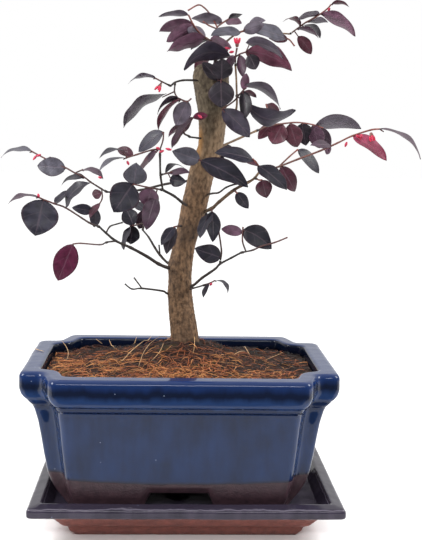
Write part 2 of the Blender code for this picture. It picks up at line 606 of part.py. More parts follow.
        Stem([(279, 166.6, -20), (289, 157, -17), (297.8, 149.5, -14)], (0.7, 0.6)),
    ], [
        Leaf((281, 167), (295.5, 192), 16, 7), Leaf((299, 150), (319.5, 173), 12, 5),
        Leaf((331, 145.5), (310.5, 145), 8, -7), Leaf((331, 146.5), (325.5, 154), 7, 8),
        Leaf((353, 136.5), (387, 160), 13, -7, "", 1), Leaf((379.6, 129), (421.5, 158), 4, -8, "", 5),
    ]),
    "lower_right": Spray(2.0, [
        Stem([(241, 252.7, -16), (253, 250, -19), (262, 246, -22), (274.7, 242.5, -26), (287.5, 237.4, -30)],
             (0.72, 0.6)),
        Stem([(246, 251.6, -17.2), (242.5, 241, -14), (243, 227, -11)], (0.65, 0.6)),
    ], [Leaf((246, 230), (271.5, 249), 22, -8, "", 3), Leaf((243, 233), (221, 228.5), 11, 5)]),
    "lower_riser": Spray(2.2, [
        Stem([(220, 264, -9), (221.5, 251, -9), (218.6, 231, -8), (215, 218, -8), (211, 209, -9)],
             (0.7, 0.6)),
    ], [
        Leaf((211.5, 211), (213, 242), 15, -7), Leaf((221, 257.5), (195, 248.5), 19, -8),
        Leaf((211, 212), (199.5, 238), 11, -12),
    ]),
    "back_mid": Spray(1.8, [
        Stem([(206, 150, 34), (209, 148, 42), (214, 147, 50), (219, 148, 56)], (0.68, 0.6)),
    ], [
        Leaf((219, 148), (235, 153), 12, 8), Leaf((214, 147.2), (221, 164), 14, 5),
        Leaf((209, 148), (196, 159), 13, 9), Leaf((208, 148.5), (203, 135), 9, 11),
        Leaf((216, 147.4), (219, 134), 8, 13),
    ]),
    "back_low": Spray(1.8, [
        Stem([(197, 211.5, 30), (198, 210, 38), (197, 208, 45)], (0.75, 0.6)),
    ], [
        Leaf((198, 210), (208, 223), 11, 6), Leaf((197.6, 209.2), (187, 221), 12, 8),
        Leaf((197, 208), (199, 194), 10, 9),
    ]),
    "crown_back": Spray(2.6, [
        Stem([(217.8, 46, 6), (217, 44, 16), (215, 42, 24)], (0.75, 0.6)),
    ], [
        Leaf((215, 42), (203, 52), 12, 7), Leaf((216, 43), (228, 51), 10, 8),
        Leaf((213, 44.5), (195.5, 76.5), 13, 6), Leaf((216.4, 43.4), (211, 60), 12, 6),
    ]),
    "low_twig": Spray(1.8, [
        Stem([(203, 285.5, -4), (210, 283, -7), (215, 280.5, -9)], (0.65, 0.6)),
    ], [Leaf((215, 280.5), (228, 293.5), 4, -5, "", 4), Leaf((209, 284.5), (203.2, 297.5), 5, -6)]),
}

BUDS = {
    "bud_crown": Bud((237, 48, -5), (237.5, 38, -5), 5),
    "bud_left": Bud((161, 83.5, -18), (157.5, 90.5, -20), 3),
    "bud_right": Bud((370.6, 131.8, -52), (373, 141, -53), 3),
}


def tube(name, points, radii, collection, resolution=1):
    """Round tube through points, with its radius at each, filled caps and welded seams."""
    curve = bpy.data.curves.new(name, "CURVE")
    curve.dimensions = "3D"
    curve.bevel_depth = 1.0
    curve.bevel_resolution = resolution
    curve.use_fill_caps = True
    spline = curve.splines.new("POLY")
    spline.points.add(len(points) - 1)
    for knot, place, radius in zip(spline.points, points, radii):
        knot.co = (*place, 1.0)
        knot.radius = radius
    obj = bpy.data.objects.new(name, curve)
    collection.objects.link(obj)
    bpy.context.view_layer.update()
    return as_mesh(obj, collection, weld=True)


def stem_tube(name, stem, collection, start=None):
    """Tube for a stem; its first point may be moved to start, seated on its spur."""
    points = [sight(*pick) for pick in stem.points]
    if start is not None:
        points[0] = start
    radii = [r * MM for r in np.linspace(*stem.radii, len(points))]
    return tube(name, points, radii, collection, 1 if stem.radii[0] > THIN_STEM else 0)


def spur_ends(spray):
    """Where a spray's spur starts and ends: along the first stretch of its first stem."""
    root, ahead = (sight(*pick) for pick in spray.stems[0].points[:2])
    along = (ahead - root).normalized()
    return root, root + along * spray.spur * MM, along


def build_trunk(parts):
    """Trunk, cut top, limbs, bare twigs and spurs, joined in one woody body."""
    points = [sight(*pick[:3]) for pick in TRUNK]
    radii = [pick[3] * MM for pick in TRUNK]
    foot = points[0].copy()
    foot.z = POT_RIM - SOIL_EDGE_DROP + SOIL_MOUND
    sole = foot - Vector((0, 0, HOLE_DEPTH - GAP))
    path = [sole, foot] + points[1:]
    trunk = tube("trunk", path, [TRUNK_FOOT_RADIUS] * 2 + radii[1:], parts, resolution=4)
    wood = [stem_tube("limb", limb, parts) for limb in LIMBS]
    for spray in SPRAYS.values():
        root, end, _ = spur_ends(spray)
        thick = (spray.stems[0].radii[0] + 0.15) * MM
        wood.append(tube("spur", [root, end], [thick, thick], parts, 0))
    trunk = boolean(trunk, wood, "UNION", parts)
    dress(trunk, "trunk")
    return trunk, foot


def nearest_on(stems, px, py):
    """Nearest point of some stems to a pixel, as a pixel and its depth."""
    best = None
    spot = np.array((px, py))
    for stem in stems:
        picks = np.array(stem.points, dtype=float)
        for a, b in zip(picks[:-1], picks[1:]):
            run = b[:2] - a[:2]
            share = float(np.clip(np.dot(spot - a[:2], run) / np.dot(run, run), 0.0, 1.0))
            near = a + (b - a) * share
            away = float(np.linalg.norm(near[:2] - spot))
            if best is None or away < best[0]:
                best = (away, near)
    return best[1]


def blade_frame(base, tip, leaf):
    """Length, width, sideways and upper-face directions of a blade.

    The pick gives the width that shows. A blade is at least LEAF_WIDTH_TO_LENGTH of its
    length wide, so one that shows narrower is rolled about its length until it fits.
    """
    middle = (base + tip) / 2
    along = tip - base
    length = along.length
    along.normalize()
    view = (middle - EYE).normalized()
    across = along.cross(view).normalized()
    facing = across.cross(along)
    if facing.dot(view) > 0:
        facing.negate()
    shown = leaf.width * (middle - EYE).length / FOCAL_PX
    width = max(shown, LEAF_WIDTH_TO_LENGTH * length)
    roll = math.acos(min(1.0, shown / width))
    turned = [facing * math.cos(roll) + across * math.sin(roll) * sign for sign in (1, -1)]
    upper_shows = leaf.side == "u" or (leaf.side == "" and middle.z < EYE.z)
    normal = max(turned, key=lambda n: n.z if upper_shows else -n.z)
    upper = normal if upper_shows else -normal
    lift = across * (leaf.bow * (middle - EYE).length / FOCAL_PX * (1 if across.z > 0 else -1))
    return length, width, along.cross(upper).normalized(), upper, lift


def blade(name, root, base, tip, leaf, collection):
    """Leaf: petiole and elliptic blade, folded on its midrib and arched, then thickened.

    Half width along the blade is sin(pi * t ** 0.85) ** 0.75 of the half width; the blade
    rises between base and tip as 4 t (1 - t), and its edges stand above the midrib.
    """
    length, width, side, upper, lift = blade_frame(base, tip, leaf)
    if length > LARGE_LEAF:
        stations = (0.16, 0.42, 0.68, 0.88)
    elif length > SMALL_LEAF:
        stations = (0.22, 0.55, 0.86)
    else:
        stations = (0.28, 0.74)
    verts = []
    half = side * PETIOLE_WIDTH / 2
    if (base - root).length > SHORT_PETIOLE:
        verts += [root - half, root + half]
    else:
        base = root
    verts += [base - half, base + half]
    pairs = len(verts) // 2
    for t in stations:
        rise = 4 * t * (1 - t)
        spine = base.lerp(tip, t) + upper * (0.04 * length * rise) + lift * rise
        reach = width / 2 * math.sin(math.pi * t ** 0.85) ** 0.75
        edge = upper * (0.18 * reach)
        verts += [spine - side * reach + edge, spine, spine + side * reach + edge]
    verts.append(tip)
    faces = []
    if pairs == 2:
        faces += [(0, 1, 3), (0, 3, 2)]
    left, right = 2 * pairs - 2, 2 * pairs - 1
    first = 2 * pairs
    faces += [(left, first + 1, first), (left, right, first + 1), (right, first + 2, first + 1)]
    for row in range(len(stations) - 1):
        a = first + 3 * row
        faces += [(a, a + 1, a + 3), (a + 1, a + 4, a + 3), (a + 1, a + 2, a + 4), (a + 2, a + 5, a + 4)]
    a = first + 3 * (len(stations) - 1)
    faces += [(a, a + 1, a + 3), (a + 1, a + 2, a + 3)]
    leaf_object = mesh_object(name, verts, faces, collection)
    thicken = leaf_object.modifiers.new("thickness", "SOLIDIFY")
    thicken.thickness = BLADE_THICK
    thicken.offset = 0.0
    return as_mesh(leaf_object, collection)


def leaf_solid(stems, leaf, collection):
    """Blade of a leaf, rooted in the nearest of its spray's stems."""
    near = nearest_on(stems, *leaf.base)
    depth = float(near[2])
    root = sight(*near)
    base, tip = sight(*leaf.base, depth), sight(*leaf.tip, depth + leaf.swing)
    return blade("leaf", root, base, tip, leaf, collection)


def build_spray(name, spray, parts):
    """Leafy twig: stems and leaves joined in one body, seated 0.3 mm off its spur."""
    _, end, along = spur_ends(spray)
    first = stem_tube("spray_" + name, spray.stems[0], parts, start=end + along * GAP)
    pieces = [stem_tube("twig", stem, parts) for stem in spray.stems[1:]]
    pieces += [leaf_solid(spray.stems, leaf, parts) for leaf in spray.leaves]
    body = boolean(first, pieces, "UNION", parts)
    dress(body, "spray")
    return body


def build_bud(name, bud, parts):
    """Flower bud: a small cup with strap petals that part towards its tip."""
    seat, tip = sight(*bud.seat), sight(*bud.tip)
    along = (tip - seat).normalized()
    length = (tip - seat).length
    turn = along.to_track_quat("Z", "Y")
    cup = tube(name, [seat + along * (GAP + 0.2 * MM), seat + along * 2.2 * MM, seat + along * 3.6 * MM],
               [0.8 * MM, 1.3 * MM, 0.9 * MM], parts)
    petals = []
    for i in range(bud.petals):
        angle = 2 * math.pi * (i + 0.25) / bud.petals
        out = turn @ Vector((math.cos(angle), math.sin(angle), 0.0))
        root = seat + along * 2.4 * MM
        mid = seat + along * length * 0.6 + out * 1.2 * MM
        end = seat + along * length + out * (1.6 + 0.5 * (i % 2)) * MM
        petals.append(tube("petal", [root, mid, end], [0.55 * MM, 0.75 * MM, 0.45 * MM], parts, 0))
    body = boolean(cup, petals, "UNION", parts)
    dress(body, "bud")
    return body


def main():
    """Build every piece."""
    for obj in list(bpy.data.objects):
        bpy.data.objects.remove(obj)
    parts = new_collection("fringe_flower_bonsai")
    build_tray(parts)
    build_pot(parts)
    build_drain_mesh(parts)
    _, foot = build_trunk(parts)
    build_soil(parts, foot)
    for name, spray in SPRAYS.items():
        build_spray(name, spray, parts)
    for name, bud in BUDS.items():
        build_bud(name, bud, parts)


main()
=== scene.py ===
"""Looks of a Chinese fringe flower bonsai in a cobalt glazed pot on its drip tray.

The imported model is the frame: metres, +Z up, +X to the viewer's right, -Y towards the
viewer, with the origin in the middle of the tray's underside. Each grown or fired piece of
it is replaced here by a finer surface of the same form, worked out with numpy. Twigs and
leaves are placed by where the reference picture shows them: a pixel gives a line of sight,
and a depth in millimetres says how far along it the piece is.
"""

import logging
import math
from dataclasses import dataclass
from enum import Enum

import bmesh
import bpy
import numpy as np
from mathutils import Matrix, Vector

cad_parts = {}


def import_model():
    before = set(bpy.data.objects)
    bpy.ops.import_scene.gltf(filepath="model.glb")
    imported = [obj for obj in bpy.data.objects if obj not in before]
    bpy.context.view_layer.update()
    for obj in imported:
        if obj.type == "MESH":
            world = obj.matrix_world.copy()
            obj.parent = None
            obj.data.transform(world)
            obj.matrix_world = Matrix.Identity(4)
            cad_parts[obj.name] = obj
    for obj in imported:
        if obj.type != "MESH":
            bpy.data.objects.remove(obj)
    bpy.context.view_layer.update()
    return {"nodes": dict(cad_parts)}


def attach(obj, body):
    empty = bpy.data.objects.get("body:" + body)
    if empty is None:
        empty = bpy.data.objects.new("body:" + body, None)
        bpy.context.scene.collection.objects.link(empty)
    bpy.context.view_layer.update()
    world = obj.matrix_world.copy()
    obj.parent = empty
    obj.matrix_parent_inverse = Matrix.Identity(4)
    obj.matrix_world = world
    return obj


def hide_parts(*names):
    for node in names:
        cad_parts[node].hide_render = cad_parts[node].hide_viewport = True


MM = 0.001
# Twigs are drawn thinner than the solids, whose least thickness is a modelling limit
SLIM = 0.85
# Sine waves in a ripple, and what brings their mean to about -1 to 1
WAVES, WAVE_GAIN = 16, 2.4
# Points of the arc that eases a corner
ARC_POINTS = 7
# Hex colours of a twig's root and tip: most of them, and the tan ones of the crown and right
DARK_TWIG, TAN_TWIG = ("#2c2422", "#5a2f2d"), ("#4f352c", "#7c4038")
LOG = logging.getLogger("bonsai")
Array = np.ndarray
Colour = tuple[float, float, float, float]
Pick = tuple[float, float, float]
Socket = bpy.types.NodeSocket

# The shader's name, the Mix node's sockets for colours and what makes it mix them
SHADER = "Principled BSDF"
SHARE, FIRST, SECOND = 0, 6, 7
COLOURS = {"out": 2, "data_type": "RGBA"}


def linear(shade: str) -> Colour:
    """Turn an sRGB hex value such as "#2f4f8f" into linear red, green, blue and alpha.

    Args:
        shade: six hex digits after a hash sign.
    Returns:
        The linear colour with alpha 1.
    """
    values = [int(shade[i:i + 2], 16) / 255 for i in (1, 3, 5)]
    red, green, blue = (v / 12.92 if v <= 0.04045 else ((v + 0.055) / 1.055) ** 2.4 for v in values)
    return red, green, blue, 1.0


def ripple(points: Array, size: float, seed: int) -> Array:
    """Smooth uneven value at each point, mostly within -1 and 1.

    It is the mean of sine waves, scaled up. Their directions and phases are drawn from the
    seed, and their wavelengths lie round the size.

    Args:
        points: array of places, (..., 3), in metres.
        size: typical wavelength in metres.
        seed: number that fixes the draw.
    Returns:
        Array of values, (...).
    """
    rng = np.random.default_rng(seed)
    ways = rng.normal(size=(WAVES, 3))
    ways /= np.linalg.norm(ways, axis=1, keepdims=True)
    waves = ways * (2 * math.pi / (size * rng.uniform(0.7, 1.6, WAVES)))[:, None]
    return np.sin(points @ waves.T + rng.uniform(0, 2 * math.pi, WAVES)).mean(-1) * WAVE_GAIN


def unit(vectors: Array) -> Array:
    """Scale vectors, (..., 3), to length 1."""
    return vectors / np.maximum(np.linalg.norm(vectors, axis=-1, keepdims=True), 1e-12)


def smooth_line(points: Array, count: int) -> Array:
    """Run a smooth curve through points of any number of columns.

    Between two points it is the cubic whose slope at each is half the chord between that
    point's neighbours.

    Args:
        points: array (n, columns).
        count: number of stations, evenly shared between the points.
    Returns:
        Array (count, columns).
    """
    points = np.asarray(points, dtype=float)
    ends = np.vstack([2 * points[0] - points[1], points, 2 * points[-1] - points[-2]])
    at = np.linspace(0, len(points) - 1, count)
    k = np.minimum(at.astype(int), len(points) - 2)
    t = (at - k)[:, None]
    a, b, c, d = (ends[k + i] for i in range(4))
    square, cube = 2 * a - 5 * b + 4 * c - d, 3 * b - a - 3 * c + d
    return 0.5 * (2 * b + (c - a) * t + square * t ** 2 + cube * t ** 3)


def cross_frame(line: Array) -> tuple[Array, Array, Array]:
    """Directions along and across a line at each of its points.

    The first crosswise direction is square to the line and to the axis that the line
    follows least; the second is square to both.

    Args:
        line: array (n, 3).
    Returns:
        Unit arrays along, side and other, so that side, other and along are right-handed.
    """
    along = unit(np.gradient(line, axis=0))
    least = np.eye(3)[np.abs(along).max(axis=0).argmin()]
    side = unit(np.cross(along, least))
    return along, side, np.cross(along, side)


def circle(count: int) -> Array:
    """Angles of evenly spaced points round a circle."""
    return np.arange(count) * 2 * math.pi / count


def at_heights(flat: Array, heights: Array) -> Array:
    """Give each flat ring, (n, points, 2), its own height, (n)."""
    return np.concatenate([flat, np.broadcast_to(heights[:, None, None], flat.shape[:2] + (1,))], -1)


def soften(profile: Array, spacing: float, passes: int) -> Array:
    """Resample a profile evenly and round its corners a little.

    Args:
        profile: array (n, columns); the first two give distance along it.
        spacing: wanted distance between rows, in the profile's unit.
        passes: how many times each row takes half its neighbours' mean.
    Returns:
        Array (m, columns).
    """
    steps = np.linalg.norm(np.diff(profile[:, :2], axis=0), axis=1)
    along = np.concatenate([[0.0], np.cumsum(steps)])
    at = np.linspace(0, along[-1], int(along[-1] / spacing) + 2)
    rows = np.stack([np.interp(at, along, profile[:, k]) for k in range(profile.shape[1])], -1)
    for _ in range(passes):
        rows[1:-1] = rows[1:-1] / 2 + (rows[:-2] + rows[2:]) / 4
    return rows


def eased_outline(corners: Array, easing: Array | float, counts: tuple[int, ...]) -> Array:
    """Run closed outlines through corners, each eased by an arc, with straight runs between.

    An arc is quadratic, and it starts and ends its corner's easing away from the corner.

    Args:
        corners: array (n, corners, 2).
        easing: one distance, or an array (n, corners, 1).
        counts: points of the straight run after each corner.
    Returns:
        Array (n, points, 2).
    """
    start = corners + unit(np.roll(corners, 1, 1) - corners) * easing
    end = corners + unit(np.roll(corners, -1, 1) - corners) * easing
    following = np.roll(start, -1, 1)
    t = np.linspace(0, 1, ARC_POINTS)[:, None]
    runs = []
    for i, count in enumerate(counts):
        a, c, e = start[:, i, None], corners[:, i, None], end[:, i, None]
        runs.append((1 - t) ** 2 * a + 2 * t * (1 - t) * c + t ** 2 * e)
        runs.append(e + (following[:, i, None] - e) * np.linspace(0, 1, count + 2)[1:-1, None])
    return np.concatenate(runs, 1)


@dataclass
class Patch:
    """Four-cornered faces over points, with each face's corner UVs, tint and material slot."""

    points: Array
    faces: Array
    uv: Array
    tint: Array
    slot: Array


def grid(points: Array, tint: Array | Colour = (1.0, 1.0, 1.0, 1.0), slot: int = 0,
         u_at: Array | None = None, v_at: Array | None = None) -> Patch:
    """Join rows of points into a patch whose columns close round.

    Args:
        points: array (rows, columns, 3).
        tint: one linear colour, or an array (rows - 1, columns, 4).
        slot: material slot of the faces.
        u_at: U of each column and of the first one again, (columns + 1).
        v_at: V of each row, (rows).
    Returns:
        The patch.
    """
    rows, columns = points.shape[:2]
    u_at = np.linspace(0, 1, columns + 1) if u_at is None else u_at
    v_at = np.linspace(0, 1, rows) if v_at is None else v_at
    i, j = np.meshgrid(np.arange(rows - 1), np.arange(columns), indexing="ij")
    k = (j + 1) % columns
    faces = np.stack([i * columns + j, i * columns + k, (i + 1) * columns + k, (i + 1) * columns + j], -1)
    u = np.stack([u_at[j], u_at[j + 1], u_at[j + 1], u_at[j]], -1)
    v = np.stack([v_at[i], v_at[i], v_at[i + 1], v_at[i + 1]], -1)
    colours = np.broadcast_to(np.asarray(tint, dtype=float), (rows - 1, columns, 4))
    return Patch(points.reshape(-1, 3), faces.reshape(-1, 4), np.stack([u, v], -1).reshape(-1, 4, 2),
                 colours.reshape(-1, 4), np.full(faces.shape[0] * faces.shape[1], slot))


def tube(line: Array, radii: Array, sides: int) -> Array:
    """Carry a circle along a line and close both ends in a point.

    A point of the tube is the line's point plus its radius times cos a along the first
    crosswise direction and sin a along the second.

    Args:
        line: array (n, 3).
        radii: radius at each point, (n).
        sides: number of points round.
    Returns:
        Array (n + 2, sides, 3).
    """
    _, side, other = cross_frame(line)
    a = circle(sides)
    ring = np.cos(a)[None, :, None] * side[:, None] + np.sin(a)[None, :, None] * other[:, None]
    wall = line[:, None] + ring * np.asarray(radii)[:, None, None]
    first, last = (np.broadcast_to(end, (1, sides, 3)) for end in (line[0], line[-1]))
    return np.concatenate([first, wall, last])


def put_mesh(name: str, patches: list[Patch], finishes: list[bpy.types.Material],
             node: str = "") -> None:
    """Make one piece from patches, close its seams and poles, and let it ride on the root.

    Args:
        name: the piece's name.
        patches: its surfaces.
        finishes: its materials, in slot order.
        node: the CAD node that it stands for, if any.
    """
    starts = np.cumsum([0] + [len(patch.points) for patch in patches])
    faces = np.concatenate([patch.faces + start for patch, start in zip(patches, starts)])
    mesh = bpy.data.meshes.new(name)
    mesh.from_pydata(np.concatenate([patch.points for patch in patches]).tolist(), [], faces.tolist())
    mesh.uv_layers.new(name="surface")
    mesh.uv_layers["surface"].data.foreach_set("uv", np.concatenate([p.uv for p in patches]).ravel())
    tints = np.repeat(np.concatenate([patch.tint for patch in patches]), 4, axis=0)
    layer = mesh.color_attributes.new("tint", "FLOAT_COLOR", "CORNER")
    layer.data.foreach_set("color", tints.ravel())
    mesh.polygons.foreach_set("material_index", np.concatenate([patch.slot for patch in patches]))
    shape = bmesh.new()
    shape.from_mesh(mesh)
    bmesh.ops.remove_doubles(shape, verts=shape.verts, dist=1e-7)
    bmesh.ops.recalc_face_normals(shape, faces=shape.faces)
    shape.to_mesh(mesh)
    shape.free()
    mesh.shade_smooth()
    for finish in finishes:
        mesh.materials.append(finish)
    piece = bpy.data.objects.new(name, mesh)
    bpy.context.scene.collection.objects.link(piece)
    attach(piece, "root")
    if node:
        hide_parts(node)
    LOG.info("%s: %d faces", name, len(mesh.polygons))


def feed(node: bpy.types.Node, feeds: dict[str | int, object]) -> None:
    """Give a shader node's inputs their values and links.

    Args:
        node: the node.
        feeds: for an input's name or number, a value or the output socket to link.
    """
    for key, value in feeds.items():
        if isinstance(value, Socket):
            node.id_data.links.new(value, node.inputs[key])
        else:
            node.inputs[key].default_value = value


def add_node(tree: bpy.types.NodeTree, kind: str, feeds: dict[str | int, object] | None = None,
             out: int | str = 0, **settings: object) -> Socket:
    """Add a shader node with its settings, values and links.

    Args:
        tree: the node tree.
        kind: node type without its "ShaderNode" prefix.
        feeds: for an input's name or number, a value or the output socket to link.
        out: name or number of the wanted output.
        **settings: properties of the node.
    Returns:
        That output's socket.
    """
    node = tree.nodes.new("ShaderNode" + kind)
    for key, value in settings.items():
        setattr(node, key, value)
    feed(node, feeds or {})
    return node.outputs[out]


def new_material(name: str) -> tuple[bpy.types.Material, bpy.types.NodeTree, Socket]:
    """Start a material.

    Args:
        name: its name.
    Returns:
        The material, its node tree and the object's coordinates.
    """
    material = bpy.data.materials.new(name)
    material.use_nodes = True
    return material, material.node_tree, add_node(material.node_tree, "TexCoord", out="Object")


@dataclass(frozen=True)
class StonewareGlaze:
    """Gloss glaze over brown stoneware, dipped, with the foot wiped clean before firing.

    The eye gets a deep wet gloss, a colour mottled between deep and thin, bands of painted
    light and shade by height, pale pinholes, and a wandering line where the bare clay starts.
    """

    name: str
    deep: str
    thin: str
    clay: str
    burnt: str
    # Height of the line in the middle, how fast it sinks sideways and how far it wanders
    line_height: float
    sag: float = 0.0
    wander: float = 0.7 * MM
    fringe: float = 2.2 * MM
    gloss: float = 0.09
    waviness: float = 0.35
    bare_gloss: float = 0.72
    # Bands of painted light and shade: height from which the glaze takes the band's colour, and over what
    # height, in millimetres
    painted_light_bands: tuple[tuple[float, float, str], ...] = ()
    drift: float = 5.0
    shine: float = 0.25
    pinhole: str = "#6a7388"

    def build(self) -> bpy.types.Material:
        """Build the material.

        The line's height falls by the sag times X squared.

        Returns:
            The glazed stoneware.
        """
        material, tree, place = new_material(self.name)
        deep, thin, clay, burnt = (linear(hue) for hue in (self.deep, self.thin, self.clay, self.burnt))
        # Mottling 20 mm across and runs drawn out down the wall
        cloud = add_node(tree, "TexNoise", {"Vector": place, "Scale": 50.0, "Detail": 4.0})
        drawn = add_node(tree, "Mapping", {"Vector": place, "Scale": (1.0, 1.0, 0.22)})
        runs = add_node(tree, "TexNoise", {"Vector": drawn, "Scale": 150.0, "Detail": 3.0})
        both = add_node(tree, "Math", {0: cloud, 1: runs}, operation="ADD")
        share = add_node(tree, "MapRange", {"Value": both, "From Min": 0.7, "From Max": 1.35})
        glaze = add_node(tree, "Mix", {SHARE: share, FIRST: deep, SECOND: thin}, **COLOURS)
        # Painted light and shade in bands round the wall, at levels that the noise shifts
        level = add_node(tree, "SeparateXYZ", {0: place}, "Z")
        ragged = add_node(tree, "Math", {0: both, 1: self.drift * MM, 2: level}, operation="MULTIPLY_ADD")
        for height, blend, shade in self.painted_light_bands:
            low, painted_band = (height + self.drift) * MM, linear(shade)
            share = add_node(tree, "MapRange", {"Value": ragged, "From Min": low,
                                                "From Max": low + blend * MM})
            glaze = add_node(tree, "Mix", {SHARE: share, FIRST: glaze, SECOND: painted_band}, **COLOURS)
        # Pinholes: about one cell in five, of 5 mm each, shows a pale speck
        away = add_node(tree, "TexVoronoi", {"Vector": place, "Scale": 200.0}, "Distance")
        chosen = add_node(tree, "SeparateColor", {0: away.node.outputs["Color"]})
        near = add_node(tree, "Math", {0: away, 1: 0.07}, operation="LESS_THAN")
        some = add_node(tree, "Math", {0: chosen, 1: 0.78}, operation="GREATER_THAN")
        speck = add_node(tree, "Math", {0: near, 1: some}, operation="MULTIPLY")
        pale = linear(self.pinhole)
        glaze = add_node(tree, "Mix", {SHARE: speck, FIRST: glaze, SECOND: pale}, **COLOURS)
        # Bare clay, with the burnt edge that the glaze leaves on it
        grain = add_node(tree, "TexNoise", {"Vector": place, "Scale": 260.0, "Detail": 5.0})
        bare = add_node(tree, "Mix", {SHARE: grain, FIRST: burnt, SECOND: clay}, **COLOURS)
        across = add_node(tree, "SeparateXYZ", {0: place}, "X")
        square = add_node(tree, "Math", {0: across, 1: across}, operation="MULTIPLY")
        height = add_node(tree, "Math", {0: square, 1: -self.sag, 2: level}, operation="MULTIPLY_ADD")
        edge = add_node(tree, "TexNoise", {"Vector": place, "Scale": 70.0, "Detail": 2.0})
        lifted = add_node(tree, "Math", {0: edge, 1: self.wander * 2, 2: height}, operation="MULTIPLY_ADD")
        start = self.line_height + self.wander
        cover = add_node(tree, "MapRange", {"Value": lifted, "From Min": start - 0.25 * MM,
                                            "From Max": start + 0.25 * MM})
        rim = add_node(tree, "MapRange", {"Value": lifted, "From Min": start,
                                          "From Max": start + self.fringe})
        glaze = add_node(tree, "Mix", {SHARE: rim, FIRST: burnt, SECOND: glaze}, **COLOURS)
        colour = add_node(tree, "Mix", {SHARE: cover, FIRST: bare, SECOND: glaze}, **COLOURS)
        tint = add_node(tree, "VertexColor", layer_name="tint")
        colour = add_node(tree, "Mix", {SHARE: 1.0, FIRST: colour, SECOND: tint}, blend_type="MULTIPLY",
                          **COLOURS)
        # The glaze's own waviness is 13 mm across; the clay's grain is 1 mm
        swell = add_node(tree, "TexNoise", {"Vector": place, "Scale": 75.0, "Detail": 1.0})
        pits = add_node(tree, "TexNoise", {"Vector": place, "Scale": 900.0, "Detail": 2.0})
        relief = add_node(tree, "Mix", {SHARE: cover, FIRST: pits, SECOND: swell}, **COLOURS)
        bump = add_node(tree, "Bump", {"Height": relief, "Strength": self.waviness, "Distance": 0.8 * MM})
        rough = add_node(tree, "MapRange", {"Value": cover, "To Min": self.bare_gloss, "To Max": self.gloss})
        feed(tree.nodes[SHADER], {"Base Color": colour, "Roughness": rough, "Normal": bump, "IOR": 1.5,
                                  "Specular IOR Level": self.shine})
        return material


@dataclass(frozen=True)
class Peat:
    """Damp peat between the coir: nearly black, crumbly, with brown bits and some green."""

    name: str = "damp_peat"

    def build(self) -> bpy.types.Material:
        """Build the material.

        Returns:
            The peat.
        """
        material, tree, place = new_material(self.name)
        dark, brown, green = (linear(hue) for hue in ("#120c0b", "#392117", "#3c3d22"))
        # Crumbs are about 2 mm, patches about 15 mm
        crumb = add_node(tree, "TexNoise", {"Vector": place, "Scale": 480.0, "Detail": 5.0})
        patch = add_node(tree, "TexNoise", {"Vector": place, "Scale": 65.0, "Detail": 2.0})
        share = add_node(tree, "MapRange", {"Value": crumb, "From Min": 0.35, "From Max": 0.7})
        colour = add_node(tree, "Mix", {SHARE: share, FIRST: dark, SECOND: brown}, **COLOURS)
        share = add_node(tree, "MapRange", {"Value": patch, "From Min": 0.58, "From Max": 0.7, "To Max": 0.5})
        colour = add_node(tree, "Mix", {SHARE: share, FIRST: colour, SECOND: green}, **COLOURS)
        bump = add_node(tree, "Bump", {"Height": crumb, "Strength": 0.9, "Distance": 1.2 * MM})
        feed(tree.nodes[SHADER], {"Base Color": colour, "Normal": bump, "Roughness": 0.95,
                                  "Specular IOR Level": 0.25})
        return material


@dataclass(frozen=True)
class TintedGrowth:
    """Fibre, twig or petal whose tint the mesh carries, with a finer mottle over it.

    The eye gets a dry or soft surface whose colour changes along each piece.
    """

    name: str
    roughness: float
    # Share by which the mottle lightens and darkens, and its spots to a metre
    mottle: float
    scale: float
    relief: float

    def build(self) -> bpy.types.Material:
        """Build the material.

        Returns:
            The tinted finish.
        """
        material, tree, place = new_material(self.name)
        tint = add_node(tree, "VertexColor", layer_name="tint")
        spots = add_node(tree, "TexNoise", {"Vector": place, "Scale": self.scale, "Detail": 4.0})
        shade = add_node(tree, "MapRange", {"Value": spots, "From Min": 0.3, "From Max": 0.7,
                                            "To Min": 1.0 - self.mottle, "To Max": 1.0 + self.mottle})
        colour = add_node(tree, "Mix", {SHARE: 1.0, FIRST: tint, SECOND: shade}, blend_type="MULTIPLY",
                          **COLOURS)
        bump = add_node(tree, "Bump", {"Height": spots, "Strength": 0.6, "Distance": self.relief})
        feed(tree.nodes[SHADER], {"Base Color": colour, "Normal": bump, "Roughness": self.roughness})
        return material


